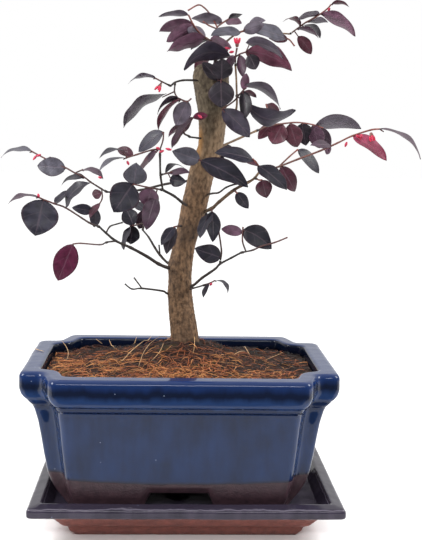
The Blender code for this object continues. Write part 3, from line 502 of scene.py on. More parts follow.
@dataclass(frozen=True)
class FringeFlowerLeaf:
    """Small leathery leaf: slate to wine, satin, with a sunk midrib and forward-slanting veins."""

    name: str = "fringe_flower_leaf"
    vein_rate: float = 6.0

    def build(self) -> bpy.types.Material:
        """Build the material.

        A vein runs where t - 0.3 |u|, times the vein rate, is an even number; u runs from -1
        to 1 across the blade and t from 0 to 1 along it.

        Returns:
            The leaf finish.
        """
        material, tree, place = new_material(self.name)
        surface = add_node(tree, "UVMap", uv_map="surface")
        u, t = (add_node(tree, "SeparateXYZ", {0: surface}, axis) for axis in "XY")
        across = add_node(tree, "Math", {0: u, 1: 2.0, 2: -1.0}, operation="MULTIPLY_ADD")
        away = add_node(tree, "Math", {0: across}, operation="ABSOLUTE")
        slant = add_node(tree, "Math", {0: away, 1: -0.3, 2: t}, operation="MULTIPLY_ADD")
        saw = add_node(tree, "Math", {0: slant, 1: self.vein_rate}, operation="MULTIPLY")
        saw = add_node(tree, "Math", {0: saw, 1: 1.0}, operation="PINGPONG")
        vein = add_node(tree, "MapRange", {"Value": saw, "From Max": 0.16, "To Min": 1.0, "To Max": 0.0})
        midrib = add_node(tree, "MapRange", {"Value": away, "From Min": 0.02, "From Max": 0.10,
                                             "To Min": 1.0, "To Max": 0.0})
        lines = add_node(tree, "Math", {0: vein, 1: 0.45, 2: midrib}, operation="MULTIPLY_ADD",
                         use_clamp=True)
        # Blotches are about 5 mm
        blotch = add_node(tree, "TexNoise", {"Vector": place, "Scale": 210.0, "Detail": 4.0})
        shade = add_node(tree, "MapRange", {"Value": blotch, "From Min": 0.3, "From Max": 0.7,
                                            "To Min": 0.58, "To Max": 1.24})
        tint = add_node(tree, "VertexColor", layer_name="tint")
        colour = add_node(tree, "Mix", {SHARE: 1.0, FIRST: tint, SECOND: shade}, blend_type="MULTIPLY",
                          **COLOURS)
        faint = add_node(tree, "Math", {0: lines, 1: 0.13}, operation="MULTIPLY")
        margin = add_node(tree, "MapRange", {"Value": away, "From Min": 0.82, "From Max": 1.0,
                                             "To Max": 0.45})
        for share, layer in ((faint, linear("#8a7580")), (margin, linear("#3c1e28"))):
            colour = add_node(tree, "Mix", {SHARE: share, FIRST: colour, SECOND: layer}, **COLOURS)
        sunk = add_node(tree, "Math", {0: lines, 1: -1.0, 2: blotch}, operation="MULTIPLY_ADD")
        bump = add_node(tree, "Bump", {"Height": sunk, "Strength": 0.5, "Distance": 0.25 * MM})
        rough = add_node(tree, "MapRange", {"Value": blotch, "From Min": 0.3, "From Max": 0.7,
                                            "To Min": 0.36, "To Max": 0.52})
        feed(tree.nodes[SHADER], {"Base Color": colour, "Roughness": rough, "Normal": bump,
                                  "Specular IOR Level": 0.24, "Coat Weight": 0.06, "Coat Roughness": 0.35})
        return material


@dataclass(frozen=True)
class FringeFlowerBark:
    """Thin scaly bark: olive tan flakes over darker brown, greener and greyer at the top."""

    green_from: float
    strip_at: tuple[float, float, float]
    name: str = "fringe_flower_bark"

    def build(self) -> bpy.types.Material:
        """Build the material.

        Returns:
            The bark.
        """
        material, tree, place = new_material(self.name)
        # Flakes 2 mm wide and 4 mm long, flecks 1.6 mm across, patches 17 mm wide
        drawn = add_node(tree, "Mapping", {"Vector": place, "Scale": (1.0, 1.0, 0.5)})
        flakes = add_node(tree, "TexNoise", {"Vector": drawn, "Scale": 480.0, "Detail": 8.0})
        flecks = add_node(tree, "TexNoise", {"Vector": place, "Scale": 620.0, "Detail": 4.0})
        broad = add_node(tree, "TexNoise", {"Vector": drawn, "Scale": 60.0, "Detail": 5.0})
        light = add_node(tree, "MapRange", {"Value": flakes, "From Min": 0.34, "From Max": 0.66})
        # The bark, its dry part and its green part, each as the colours under and on the flakes
        bark, dry, algae = (
            add_node(tree, "Mix", {SHARE: light, FIRST: linear(a), SECOND: linear(b)}, **COLOURS)
            for a, b in (("#3e2e22", "#7e6249"), ("#7c654c", "#bb9f7f"), ("#1f1d1a", "#4a483c")))
        patches = add_node(tree, "MapRange", {"Value": broad, "From Min": 0.45, "From Max": 0.68,
                                              "To Max": 0.6})
        specks = add_node(tree, "MapRange", {"Value": flecks, "From Min": 0.6, "From Max": 0.72,
                                             "To Max": 0.5})
        # Paler bark over the upper half, then algae green up to the cut top
        height = add_node(tree, "SeparateXYZ", {0: place}, "Z")
        upper = add_node(tree, "MapRange", {"Value": height, "From Min": 0.22, "From Max": 0.25,
                                            "To Max": 0.4})
        ragged = add_node(tree, "Math", {0: broad, 1: 0.07, 2: height}, operation="MULTIPLY_ADD")
        top = add_node(tree, "MapRange", {"Value": ragged, "From Min": self.green_from,
                                          "From Max": self.green_from + 0.04, "To Max": 0.72})
        # Strip where the outer bark has peeled to orange tan
        from_strip = add_node(tree, "Mapping", {"Vector": place, "Location": self.strip_at,
                                                "Scale": (0.7, 1.0, 1.8)}, vector_type="TEXTURE")
        away = add_node(tree, "VectorMath", {0: from_strip}, "Value", operation="LENGTH")
        peel = add_node(tree, "MapRange", {"Value": away, "From Min": 0.004, "From Max": 0.008,
                                           "To Min": 0.85, "To Max": 0.0})
        for share, layer in ((patches, linear("#3d312b")), (specks, linear("#241b17")), (upper, dry),
                             (top, algae), (peel, linear("#a97a45"))):
            bark = add_node(tree, "Mix", {SHARE: share, FIRST: bark, SECOND: layer}, **COLOURS)
        relief = add_node(tree, "Math", {0: flakes, 1: flecks}, operation="ADD")
        bump = add_node(tree, "Bump", {"Height": relief, "Strength": 0.8, "Distance": 0.7 * MM})
        feed(tree.nodes[SHADER], {"Base Color": bark, "Normal": bump, "Roughness": 0.86,
                                  "Specular IOR Level": 0.3})
        return material


@dataclass(frozen=True)
class BlackMesh:
    """Black polyethylene net, moulded: dull, with faint flow marks."""

    name: str = "black_polyethylene_net"

    def build(self) -> bpy.types.Material:
        """Build the material.

        Returns:
            The plastic.
        """
        material, tree, place = new_material(self.name)
        black, grey = linear("#161618"), linear("#2a2a2c")
        flow = add_node(tree, "TexNoise", {"Vector": place, "Scale": 400.0, "Detail": 2.0})
        colour = add_node(tree, "Mix", {SHARE: flow, FIRST: black, SECOND: grey}, **COLOURS)
        feed(tree.nodes[SHADER], {"Base Color": colour, "Roughness": 0.55})
        return material


class Tone(Enum):
    """Leaf colours, each as the upper and the lower face of the blade.

    Besides the leaves' own colours, the grey tones ASH and GREY also carry painted sheen and
    light, chosen leaf by leaf for how bright a leaf shows.
    """

    ASH = ("#67636e", "#6a626e")
    GREY = ("#4a4852", "#48404b")
    SLATE = ("#302e3b", "#302a37")
    INK = ("#191723", "#1f1822")
    MAUVE = ("#5c4052", "#664658")
    PLUM = ("#3e2b39", "#462c3d")
    WINE = ("#421d2b", "#502331")
    ROSE = ("#5c2f3f", "#623445")
    RED = ("#4e1230", "#581632")
    CRIMSON = ("#88304c", "#8c3450")


@dataclass(frozen=True)
class Leaf:
    """One leaf as the picture shows it.

    Base and tip are pixels, width is the width that shows in pixels, swing is how many
    millimetres further back the tip is than the base. Bow bends the blade up the picture by
    so many pixels, and side "u" or "d" forces the upper or the lower face to show.
    """

    base: tuple[float, float]
    tip: tuple[float, float]
    width: float
    swing: float
    tone: Tone
    bow: float = 0.0
    side: str = ""


@dataclass(frozen=True)
class Stem:
    """Twig through picks (pixel across, pixel down, depth in mm), with its radii in mm."""

    points: tuple[Pick, ...]
    root: float
    tip: float = 0.6


@dataclass(frozen=True)
class Spray:
    """Leafy twig: spur is how many mm of its first stem belong to the limb that bears it."""

    spur: float
    stems: tuple[Stem, ...]
    leaves: tuple[Leaf, ...]


ASH, GREY, SLATE, INK, MAUVE, PLUM, WINE, ROSE, RED, CRIMSON = Tone

# Trunk picks: pixel across, pixel down, depth and radius in millimetres
TRUNK = (
    (185.0, 338.0, 10, 9.6), (182.6, 318.0, 10, 8.8), (180.8, 300.0, 11, 8.3), (179.8, 282.0, 12, 8.1),
    (181.2, 263.0, 13, 8.1), (184.6, 244.0, 14, 8.0), (191.4, 218.0, 14, 8.4), (197.4, 193.0, 13, 8.7),
    (203.4, 166.0, 11, 8.6), (209.6, 148.0, 10, 8.6), (212.0, 128.0, 9, 9.0), (212.2, 107.0, 8, 10.0),
    (211.6, 92.0, 8, 11.4), (210.8, 78.0, 8, 12.2), (210.6, 69.0, 8, 10.4), (210.8, 65.0, 8, 7.0),
)

# Limbs grow from inside the trunk or from another limb's own point
LIMBS = (
    Stem(((181, 270, 12), (169, 268, 8), (158.7, 264, 3), (147, 256.5, -4), (130.6, 247.6, -12),
          (116, 241, -20), (106, 233, -26), (99.6, 227, -30)), 1.6, 0.75),
    Stem(((116, 241, -20), (107.7, 242, -16)), 0.75, 0.65),
    Stem(((106, 233, -26), (110, 226.5, -24), (117, 224, -20), (122.5, 222.5, -17)), 0.65),
    Stem(((180, 268, 14), (168, 263, 16), (160, 255, 18), (154.8, 247.6, 20), (148.5, 237, 24),
          (142.7, 230, 28)), 1.2, 0.7),
    Stem(((160, 255, 18), (159, 245, 15)), 0.7),
    Stem(((193, 209, 12), (183, 203, 3), (174, 196, -5), (162.8, 190, -12)), 1.3, 1.0),
    Stem(((162.8, 190, -12), (160.5, 175, -16), (160, 156, -18)), 0.9, 0.75),
    Stem(((200, 182, 12), (188, 181, 20), (166, 184, 26), (140, 190, 31), (120, 192, 35), (107, 192, 37)),
          1.1, 0.75),
    Stem(((212, 84, 8), (200, 81, 2), (193.5, 80.3, -4), (183, 80.3, -8), (175, 82.4, -11),
          (170.7, 86, -12)), 0.9, 0.7),
    Stem(((212, 140, 9), (197.7, 138, 2), (190, 137, -4)), 0.8, 0.65),
    Stem(((214, 72, 8), (216.5, 55, 7), (218, 44, 6), (218, 34, 6)), 1.7, 1.0),
    Stem(((217.4, 50, 6.5), (226, 42, 12), (236, 34, 17), (245, 31, 21), (262, 31, 26), (277, 33, 30),
          (290, 34, 33)), 0.9, 0.65),
    Stem(((213, 119, 9), (226, 115.5, 6), (236, 110, 1), (236.5, 85, -3), (235.5, 66, -4)), 0.95, 0.7),
    Stem(((197, 214, 12), (211, 209, 6), (219, 202, 1), (234, 190, -4), (248.7, 182, -8), (254.7, 178, -10),
          (260, 172, -12), (270, 169, -16)), 1.5, 0.85),
    Stem(((201, 196, 11), (212, 193.5, 4), (219, 192.5, -1), (226, 187.5, -5), (236, 184, -7),
          (248.7, 182, -8)), 0.8, 0.7),
    Stem(((209, 151, 10), (222, 146, 18), (240, 138, 27), (256, 131, 34)), 1.1, 0.85),
    Stem(((182, 287, 11), (192, 286, 5), (202, 278, -1), (215, 269, -7), (220, 264, -9), (231, 258, -13),
          (241, 252.7, -16)), 1.3, 0.7),
    Stem(((182, 290, 11), (192, 288.5, 3), (203, 285.5, -4)), 0.8),
    Stem(((181, 295, 12), (167.6, 293.5, 8), (162.5, 291, 6), (142, 288.4, 0), (132, 289, -4),
          (125, 284, -7)), 0.9),
    Stem(((142, 288.4, 0), (134, 277.6, 3)), 0.65),
    Stem(((208, 158, 11), (207, 154, 24), (206, 150, 34)), 1.1, 0.8),
    Stem(((192, 216, 14), (195, 213, 24), (197, 211.5, 30)), 1.0, 0.75),
)

SPRAYS = {
    "left_reach": Spray(1.8, (
        Stem(((99.6, 227, -30), (88.8, 222.5, -33), (66, 208, -38), (54, 203.6, -40), (39, 197.6, -42)),
              0.76),
    ), (
        Leaf((43.5, 200), (35, 235.8), 37, -4, SLATE), Leaf((39, 195), (8, 203), 4, -7, PLUM, 3),
        Leaf((66, 206.5), (90, 182.5), 11, -8, INK, 4), Leaf((55, 203), (71, 190), 7, 8, INK),
    )),
    "left_red": Spray(1.8, (
        Stem(((107.7, 242, -16), (99.6, 244.7, -12), (80.7, 243.3, -8), (73, 244, -6)), 0.64),
    ), (
        Leaf((73, 245), (57.5, 281), 24, 3, RED),
    )),
    "left_upper": Spray(1.8, (
        Stem(((107, 192, 37), (101.7, 189, 38), (90.5, 182, 40), (84, 177, 41), (75, 173, 42), (66, 168, 43),
              (48, 160, 46), (31, 151, 49)), 0.82, 0.62),
        Stem(((101.7, 189, 38), (102, 199, 33), (96, 209, 30)), 0.64),
        Stem(((75, 173, 42), (83, 169.5, 46)), 0.61),
    ), (
        Leaf((33, 151.6), (0.5, 156.6), 4, 5, GREY, 3), Leaf((65, 170), (37, 165.5), 19, 6, GREY),
        Leaf((86, 176.5), (60, 186.5), 5, 8, INK, 3), Leaf((82, 171), (103.5, 179), 6, -6, PLUM, 3),
        Leaf((100.3, 203.4), (89.5, 218), 7, -8, WINE), Leaf((101.6, 192.6), (92, 195.5), 10, 7, WINE),
        Leaf((93, 211), (72, 207.5), 11, -6, SLATE), Leaf((97.6, 210), (94.5, 227.5), 11, 6, GREY),
        Leaf((48, 158.5), (59, 161.5), 5, 9, MAUVE),
    )),
    "left_back": Spray(2.2, (
        Stem(((142.7, 230, 28), (144, 223, 31), (146.5, 213, 34), (149, 200, 38)), 0.68),
        Stem(((144, 223, 31), (136, 225, 34), (130, 226, 37)), 0.7),
    ), (
        Leaf((133, 227), (130, 244.5), 17, 8, INK), Leaf((131, 226), (123, 249.5), 6, -9, INK),
        Leaf((133.5, 226.5), (126, 208), 17, 7, INK), Leaf((147, 209), (138.5, 229), 14, 6, PLUM),
        Leaf((146.5, 212), (134, 202), 10, 12, INK),
    )),
    "front_left": Spray(1.8, (
        Stem(((160, 156, -18), (160, 149.5, -19.5), (152, 150, -23), (137, 154.5, -28), (126, 158, -31)),
              0.72),
        Stem(((160, 149.5, -19.5), (163, 140, -19), (163.5, 132, -18)), 0.65),
    ), (
        Leaf((126, 158.5), (98, 172), 4, -4, GREY, 3), Leaf((132.6, 154), (117, 148), 10, 8, WINE),
        Leaf((125, 151), (99, 158), 4, -6, INK, 3), Leaf((162.5, 131), (138, 151.5), 14, 10, SLATE),
        Leaf((158.5, 151), (133, 184), 6, -3, WINE), Leaf((154, 150.8), (149, 162), 6, -6, PLUM),
    )),
    "front_low": Spray(2.8, (
        Stem(((162.8, 190, -12), (157, 189, -18), (146, 187, -24), (133, 184, -29)), 0.8),
    ), (
        Leaf((134.6, 182), (136.5, 163), 24, -6, GREY), Leaf((131, 185), (113.5, 212), 31, -7, INK),
        Leaf((152, 185.5), (146, 206), 21, 8, MAUVE), Leaf((156, 196), (146, 230), 17, -4, PLUM),
    )),
    "front_centre": Spray(2.5, (
        Stem(((160.5, 175, -16), (166, 173.5, -21), (172, 172, -25)), 0.64),
    ), (
        Leaf((168, 173.2), (190, 172.5), 7, -8, PLUM), Leaf((165, 172.5), (184, 167.5), 4, 6, INK, 5),
        Leaf((169.5, 179.5), (186, 182), 13, -8, INK),
    )),
    "upper_left": Spray(1.8, (
        Stem(((170.7, 86, -12), (162, 81.7, -15), (156, 78.5, -17)), 0.64),
        Stem(((162, 81.7, -15), (161, 83.5, -18)), 0.6),
    ), (
        Leaf((155.6, 78.2), (128, 83), 4, -6, GREY, 3),
    )),
    "upper_low": Spray(2.2, (
        Stem(((175, 82.4, -11), (174.5, 91.6, -16), (176.6, 96.5, -18), (180, 99, -19), (187, 101.4, -20),
              (191.4, 98.5, -21)), 0.64),
    ), (
        Leaf((166.5, 94), (123, 126.6), 11, 10, GREY, 4), Leaf((178, 99.5), (157, 114), 5, -7, INK, 3),
        Leaf((180, 102), (157.7, 130), 6, 6, WINE, 3), Leaf((188.5, 102), (176, 126), 18, -5, GREY),
    )),
    "trunk_left": Spray(1.8, (
        Stem(((190, 137, -4), (184, 133, -9), (185, 125, -12), (194, 117, -12)), 0.75),
    ), (
        Leaf((194, 117), (168, 136.5), 6, 6, MAUVE), Leaf((195, 119), (171, 148), 9, -2, PLUM),
        Leaf((193, 118), (208, 115), 8, -6, RED),
    )),
    "trunk_front": Spray(9.5, (
        Stem(((204, 163, 11), (201.5, 161, -8), (199.5, 160, -13)), 0.72, 0.7),
    ), (
        Leaf((199.5, 161), (172.5, 151), 18, -7, GREY), Leaf((200, 160), (248.5, 186), 21, -9, INK),
    )),
    "trunk_low": Spray(9.5, (
        Stem(((190, 226, 14), (178, 226, 6), (174, 227, 2)), 0.64, 0.7),
    ), (
        Leaf((175, 228), (161, 245), 11, -6, INK), Leaf((175.5, 229), (166, 254), 13, -3, INK, 0, 'd'),
    )),
    "centre": Spray(14, (
        Stem(((214, 84, 8), (219, 82, -11), (221.5, 80, -15)), 0.72, 0.7),
    ), (
        Leaf((221, 80.6), (221.5, 108), 26, -6, INK), Leaf((221.5, 80), (222, 58.5), 22, -7, INK),
        Leaf((219, 81), (202.5, 62), 13, -8, INK),
    )),
    "riser_low": Spray(2.4, (
        Stem(((236.4, 96, -1), (240, 94, -8), (243.5, 90, -12)), 0.75),
        Stem(((239.6, 94.2, -7.2), (234, 101, -12), (222, 109.5, -15)), 0.62),
    ), (
        Leaf((242.5, 86), (281, 108.5), 9, -7, GREY, 6), Leaf((243, 91), (246, 119.5), 13, -8, INK),
        Leaf((243, 92), (256.5, 97), 6, 7, WINE), Leaf((243.5, 87), (246.5, 73), 9, -5, MAUVE),
        Leaf((248.5, 106), (295.5, 109), 17, 7, SLATE, -13),
        Leaf((221.5, 110), (250, 137.5), 20, -6, SLATE, 2),
    )),
    "riser_top": Spray(1.8, (
        Stem(((235.5, 66, -4), (235.5, 57, -5), (237, 48, -5)), 0.68, 0.7),
        Stem(((235.5, 57, -5), (240, 54, -9), (246, 52, -13)), 0.65),
    ), (
        Leaf((239.5, 55.5), (243, 77), 10, -5, PLUM), Leaf((249, 54.5), (256, 69.5), 15, -4, INK),
        Leaf((244.5, 50), (292, 70), 20, 2, ROSE, 4), Leaf((234.6, 56), (226, 71), 9, -10, PLUM),
        Leaf((231, 56.5), (183.5, 69), 17, -8, SLATE, 8), Leaf((245.5, 43), (284, 58), 11, -13, GREY, 3),
    )),
    "crown_left": Spray(2.6, (
        Stem(((218, 44, 6), (207, 38.5, 0), (199, 32, -4), (193, 24, -7), (188.5, 15, -9)), 0.76),
    ), (
        Leaf((188, 14.5), (158.6, 16), 6, -6, GREY), Leaf((194.5, 22.5), (159, 31), 12, 7, MAUVE),
        Leaf((194, 27), (166, 41.5), 13, -6, MAUVE), Leaf((206.5, 39.5), (166.5, 50.5), 14, -8, MAUVE),
        Leaf((206.5, 37), (187, 28), 13, -9, ASH), Leaf((207, 41), (190.7, 49.5), 5, 9, INK),
        Leaf((209, 41.5), (232, 47.5), 9, -12, MAUVE),
    )),
    "crown_top": Spray(2.2, (
        Stem(((218, 34, 6), (217, 27, 9), (214, 21, 12)), 0.76),
        Stem(((217, 27, 9), (224, 22, 14), (230, 18, 17)), 0.7),
        Stem(((217.3, 29, 8), (209, 25.5, 5), (203, 21.5, 3)), 0.6),
        Stem(((214, 21, 12), (209.5, 13.5, 10), (204, 7.5, 9), (198, 5, 8), (188, 10.5, 6)), 0.62),
    ), (
        Leaf((221, 20.5), (191.5, 17.5), 11, -7, ASH), Leaf((227, 16.5), (242.5, 14), 5, -7, INK),
        Leaf((226, 20.5), (241.5, 23), 9, 10, MAUVE),
    )),
    "crown_right": Spray(2.0, (
        Stem(((236, 34, 17), (239, 33, 12), (243, 31, 8)), 0.64),
    ), (
        Leaf((249, 23), (265.5, 20.5), 8, 5, ASH), Leaf((243, 31), (264, 24.5), 12, -3, ASH),
        Leaf((241, 33), (211, 34.5), 10, -9, GREY, 0, 'u'),
    )),
    "crown_far": Spray(1.8, (
        Stem(((277, 33, 30), (282, 37, 27), (289, 39.5, 24), (294.5, 46, 22)), 0.7),
    ), (
        Leaf((287, 37), (248, 27.5), 14, -9, GREY, 0, 'u'), Leaf((288, 39), (269, 38.5), 9, 6, WINE),
    )),
    "top_right": Spray(1.2, (
        Stem(((290, 34, 33), (302, 25, 31), (306.5, 22, 30), (318, 15.5, 28), (327, 9, 26), (331, 4.6, 25)),
              0.62),
    ), (
        Leaf((331, 4.4), (349.5, 6.8), 4, -5, WINE, 2), Leaf((320.5, 15), (296, 19.5), 6, -8, GREY),
        Leaf((298, 36), (311.3, 54.5), 12, -6, WINE, 1), Leaf((321.5, 15.5), (356, 35.5), 12, -6, MAUVE, 2),
        Leaf((301, 26), (283, 21.3), 4, -7, WINE, 4), Leaf((302, 25.8), (320.5, 37.5), 6, 9, INK, 3),
        Leaf((307, 21.6), (328, 22), 6, 7, GREY), Leaf((297, 29.5), (319, 38), 5, -4, PLUM, 2),
    )),
    "right_back": Spray(2.0, (
        Stem(((256, 131, 34), (268, 126, 40), (284, 123.5, 45), (298, 122.5, 49), (312, 124.5, 53),
              (323, 128, 56)), 0.8),
        Stem(((268, 126, 40), (268, 112, 44), (266, 104, 46)), 0.65),
    ), (
        Leaf((283, 124), (272, 144), 21, -7, WINE), Leaf((290, 123.2), (297.5, 147.5), 18, -12, WINE),
        Leaf((302, 123), (306, 145.5), 18, 4, INK), Leaf((313, 125), (320, 148.5), 16, -7, PLUM),
        Leaf((315, 125), (361, 127.5), 15, 5, GREY, 2), Leaf((270, 126.5), (258, 139), 11, 5, WINE),
        Leaf((322, 128), (328, 153), 13, -2, PLUM), Leaf((267, 104), (279.5, 112), 8, 7, WINE),
    )),
    "right_node": Spray(2.2, (
        Stem(((260, 172, -12), (258, 165, -20), (253, 159, -25)), 0.64),
    ), (
        Leaf((254, 160), (215, 152), 14, -9, INK), Leaf((258, 166.5), (240, 158), 6, 7, WINE),
        Leaf((259, 165), (287, 189.5), 16, -14, INK), Leaf((259, 168), (272, 181), 9, -9, WINE),
    )),
    "right_low": Spray(2.2, (
        Stem(((254.7, 178, -10), (259, 180, -14), (262, 180, -17)), 0.75),
    ), (
        Leaf((262, 176.5), (266.5, 198), 17, -4, WINE),
    )),
    "right_under": Spray(2.2, (
        Stem(((234, 190, -4), (235.5, 191.5, -9), (237, 193, -12)), 0.75, 0.65),
    ), (
        Leaf((237, 192), (248.5, 208.5), 12, -4, INK),
    )),
    "right_reach": Spray(1.8, (
        Stem(((270, 169, -16), (279, 166.6, -20), (298.5, 159, -27), (321, 150.5, -35), (337.5, 143, -41),
              (352, 136, -46), (370.6, 130, -52), (379.6, 129, -55)), 0.8),
        Stem(((279, 166.6, -20), (289, 157, -17), (297.8, 149.5, -14)), 0.7),
    ), (
        Leaf((281, 167), (295.5, 192), 16, 7, WINE), Leaf((299, 150), (319.5, 173), 12, 5, INK),
        Leaf((331, 145.5), (310.5, 145), 8, -7, PLUM), Leaf((331, 146.5), (325.5, 154), 7, 8, MAUVE),
        Leaf((353, 136.5), (387, 160), 13, -7, CRIMSON, 1), Leaf((379.6, 129), (421.5, 158), 4, -8, PLUM, 5),
    )),
    "lower_right": Spray(2.0, (
        Stem(((241, 252.7, -16), (253, 250, -19), (262, 246, -22), (274.7, 242.5, -26), (287.5, 237.4, -30)),
              0.72),
        Stem(((246, 251.6, -17.2), (242.5, 241, -14), (243, 227, -11)), 0.65),
    ), (
        Leaf((246, 230), (271.5, 249), 22, -8, INK, 3), Leaf((243, 233), (221, 228.5), 11, 5, MAUVE),
    )),
    "lower_riser": Spray(2.2, (
        Stem(((220, 264, -9), (221.5, 251, -9), (218.6, 231, -8), (215, 218, -8), (211, 209, -9)), 0.7),
    ), (
        Leaf((211.5, 211), (213, 242), 15, -7, INK), Leaf((221, 257.5), (195, 248.5), 19, -8, INK),
        Leaf((211, 212), (199.5, 238), 11, -12, INK),
    )),
    "back_mid": Spray(1.8, (
        Stem(((206, 150, 34), (209, 148, 42), (214, 147, 50), (219, 148, 56)), 0.68),
    ), (
        Leaf((219, 148), (235, 153), 12, 8, INK), Leaf((214, 147.2), (221, 164), 14, 5, INK),
        Leaf((209, 148), (196, 159), 13, 9, WINE), Leaf((208, 148.5), (203, 135), 9, 11, SLATE),
        Leaf((216, 147.4), (219, 134), 8, 13, GREY),
    )),
    "back_low": Spray(1.8, (
        Stem(((197, 211.5, 30), (198, 210, 38), (197, 208, 45)), 0.75),
    ), (
        Leaf((198, 210), (208, 223), 11, 6, INK), Leaf((197.6, 209.2), (187, 221), 12, 8, SLATE),
        Leaf((197, 208), (199, 194), 10, 9, WINE),
    )),
    "crown_back": Spray(2.6, (
        Stem(((217.8, 46, 6), (217, 44, 16), (215, 42, 24)), 0.75),
    ), (
        Leaf((215, 42), (203, 52), 12, 7, SLATE), Leaf((216, 43), (228, 51), 10, 8, MAUVE),
        Leaf((213, 44.5), (195.5, 76.5), 13, 6, WINE), Leaf((216.4, 43.4), (211, 60), 12, 6, SLATE),
    )),
    "low_twig": Spray(1.8, (
        Stem(((203, 285.5, -4), (210, 283, -7), (215, 280.5, -9)), 0.65),
    ), (
        Leaf((215, 280.5), (228, 293.5), 4, -5, INK, 4), Leaf((209, 284.5), (203.2, 297.5), 5, -6, INK),
    )),
}


@dataclass(frozen=True)
class Bud:
    """Flower bud from its seat's pick to its tip's pick, with its number of strap petals."""

    seat: Pick
    tip: Pick
    petals: int


BUDS = {
    "bud_crown": Bud((237, 48, -5), (237.5, 38, -5), 5),
    "bud_left": Bud((161, 83.5, -18), (157.5, 90.5, -20), 3),
    "bud_right": Bud((370.6, 131.8, -52), (373, 141, -53), 3),
}


@dataclass(frozen=True)
class Sight:
    """The camera: where the eye is, how it looks and how a pixel gives a line of sight.

    The focal length, the centre and the long side are in pixels, and the sensor in millimetres.
    """

    eye: tuple[float, float, float] = (-0.0145, -0.7105, 0.261)
    turn: float = math.radians(2.43)
    pitch: float = math.radians(7.39)
    roll: float = math.radians(1.05)
    focal: float = 1040.0
    centre: tuple[float, float] = (211.0, 270.0)
    long_side: float = 540.0
    sensor: float = 36.0

    def axes(self) -> tuple[Array, Array, Array]:
        """Give the picture's own directions.

        Returns:
            Unit arrays forward, right and up, after the roll.
        """
        forward = np.array((math.sin(self.turn) * math.cos(self.pitch),
                            math.cos(self.turn) * math.cos(self.pitch), -math.sin(self.pitch)))
        right = np.array((math.cos(self.turn), -math.sin(self.turn), 0.0))
        up = np.cross(right, forward)
        c, s = math.cos(self.roll), math.sin(self.roll)
        return forward, c * right + s * up, c * up - s * right

    def rays(self, pixels: Array) -> Array:
        """Directions through pixels.

        Args:
            pixels: array (..., 2), across and down.
        Returns:
            Array (..., 3), not of unit length.
        """
        forward, right, up = self.axes()
        across, down = (pixels[..., k, None] - self.centre[k] for k in (0, 1))
        return forward + (across * right - down * up) / self.focal

    def place(self, picks: Array) -> Array:
        """Points on the lines of sight at given depths.

        Args:
            picks: array (..., 3) of pixel across, pixel down and depth in millimetres.
        Returns:
            Array (..., 3) in metres: the eye plus the ray, run until Y is the depth.
        """
        picks = np.asarray(picks, dtype=float)
        rays = self.rays(picks[..., :2])
        reach = (picks[..., 2] * MM - self.eye[1]) / rays[..., 1]
        return np.asarray(self.eye) + rays * reach[..., None]

    def on_level(self, pixels: Array, height: float) -> Array:
        """Points where lines of sight meet a level plane.

        Args:
            pixels: array (..., 2).
            height: the plane's Z in metres.
        Returns:
            Array (..., 3).
        """
        rays = self.rays(np.asarray(pixels, dtype=float))
        reach = (height - self.eye[2]) / rays[..., 2]
        return np.asarray(self.eye) + rays * reach[..., None]

    def put_camera(self) -> None:
        """Make the camera and set it as the scene's."""
        forward, right, up = self.axes()
        data = bpy.data.cameras.new("camera")
        data.sensor_width = self.sensor
        data.lens = self.focal / self.long_side * self.sensor
        data.clip_start, data.clip_end = 0.02, 30.0
        camera = bpy.data.objects.new("camera", data)
        turned = Matrix((right, up, -forward)).transposed()
        camera.matrix_world = Matrix.Translation(self.eye) @ turned.to_4x4()
        bpy.context.scene.collection.objects.link(camera)
        bpy.context.scene.camera = camera


SIGHT = Sight()


@dataclass
class DripTray:
    """Shallow oblong tray: glazed well and lip over a bare stepped base, in millimetres."""

    half_width: float = 101.5
    half_depth: float = 78.7
    corner: float = 2.5
    straight: int = 40
    unevenness: float = 0.25
    # Rings that close the well and the underside, as shares of the way out from the middle
    closing: tuple[float, ...] = (0.0, 0.4, 0.75)
    # Front inset from the outer edge, height, and how much more the sides are inset, from the
    # middle of the well out and under
    profile: tuple[tuple[float, float, float], ...] = (
        (14.5, 19.0, 0.0), (9.6, 25.6, 0.0), (8.2, 27.2, 0.0), (1.2, 25.8, 0.0), (0.0, 24.4, 0.0),
        (0.0, 20.0, 0.0), (1.0, 19.2, 0.0), (9.3, 17.0, 1.7), (13.6, 14.2, 2.4), (15.9, 10.8, 2.9),
        (17.2, 8.9, 3.2), (21.2, 6.6, 3.0), (21.8, 3.6, 3.2), (24.6, 0.0, 3.6),
    )
    # The pale band round the lip's outer edge is a painted highlight, broken by the noise
    finish: StonewareGlaze = StonewareGlaze(
        "ink_glazed_stoneware", deep="#1f1b27", thin="#3a3442", clay="#8c544a", burnt="#4a2e2d",
        line_height=17.8 * MM, wander=0.35 * MM, fringe=0.5 * MM, gloss=0.12, waviness=0.5, bare_gloss=0.5,
        painted_light_bands=((25.1, 0.3, "#58535e"), (25.5, 0.3, "#27222e")), drift=1.4)

    def build(self) -> None:
        """Build the tray from its softened profile, closed above and below in one point."""
        inset, level, side = soften(np.array(self.profile), 0.7, 2).T
        width, depth = self.half_width - inset - side, self.half_depth - inset
        signs = ((1, -1), (1, 1), (-1, 1), (-1, -1))
        corners = np.stack([np.stack([sx * width, sy * depth], -1) for sx, sy in signs], 1)
        rings = at_heights(eased_outline(corners, self.corner, (self.straight,) * 4), level) * MM
        # The whole is a little uneven, except on the underside
        lift = ripple(rings, 60 * MM, 3) * self.unevenness * MM * np.clip(rings[..., 2] / (20 * MM), 0, 1)
        rings[..., 2] += lift
        well, under = rings[:1].mean(1, keepdims=True), rings[-1:].mean(1, keepdims=True)
        shares = np.array(self.closing)[:, None, None]
        middle = well[0] + (rings[0] - well[0]) * shares
        below = under[0] + (rings[-1] - under[0]) * shares[::-1]
        put_mesh("glazed_drip_tray", [grid(np.concatenate([middle, rings, below]))], [self.finish.build()],
                 "drip_tray")


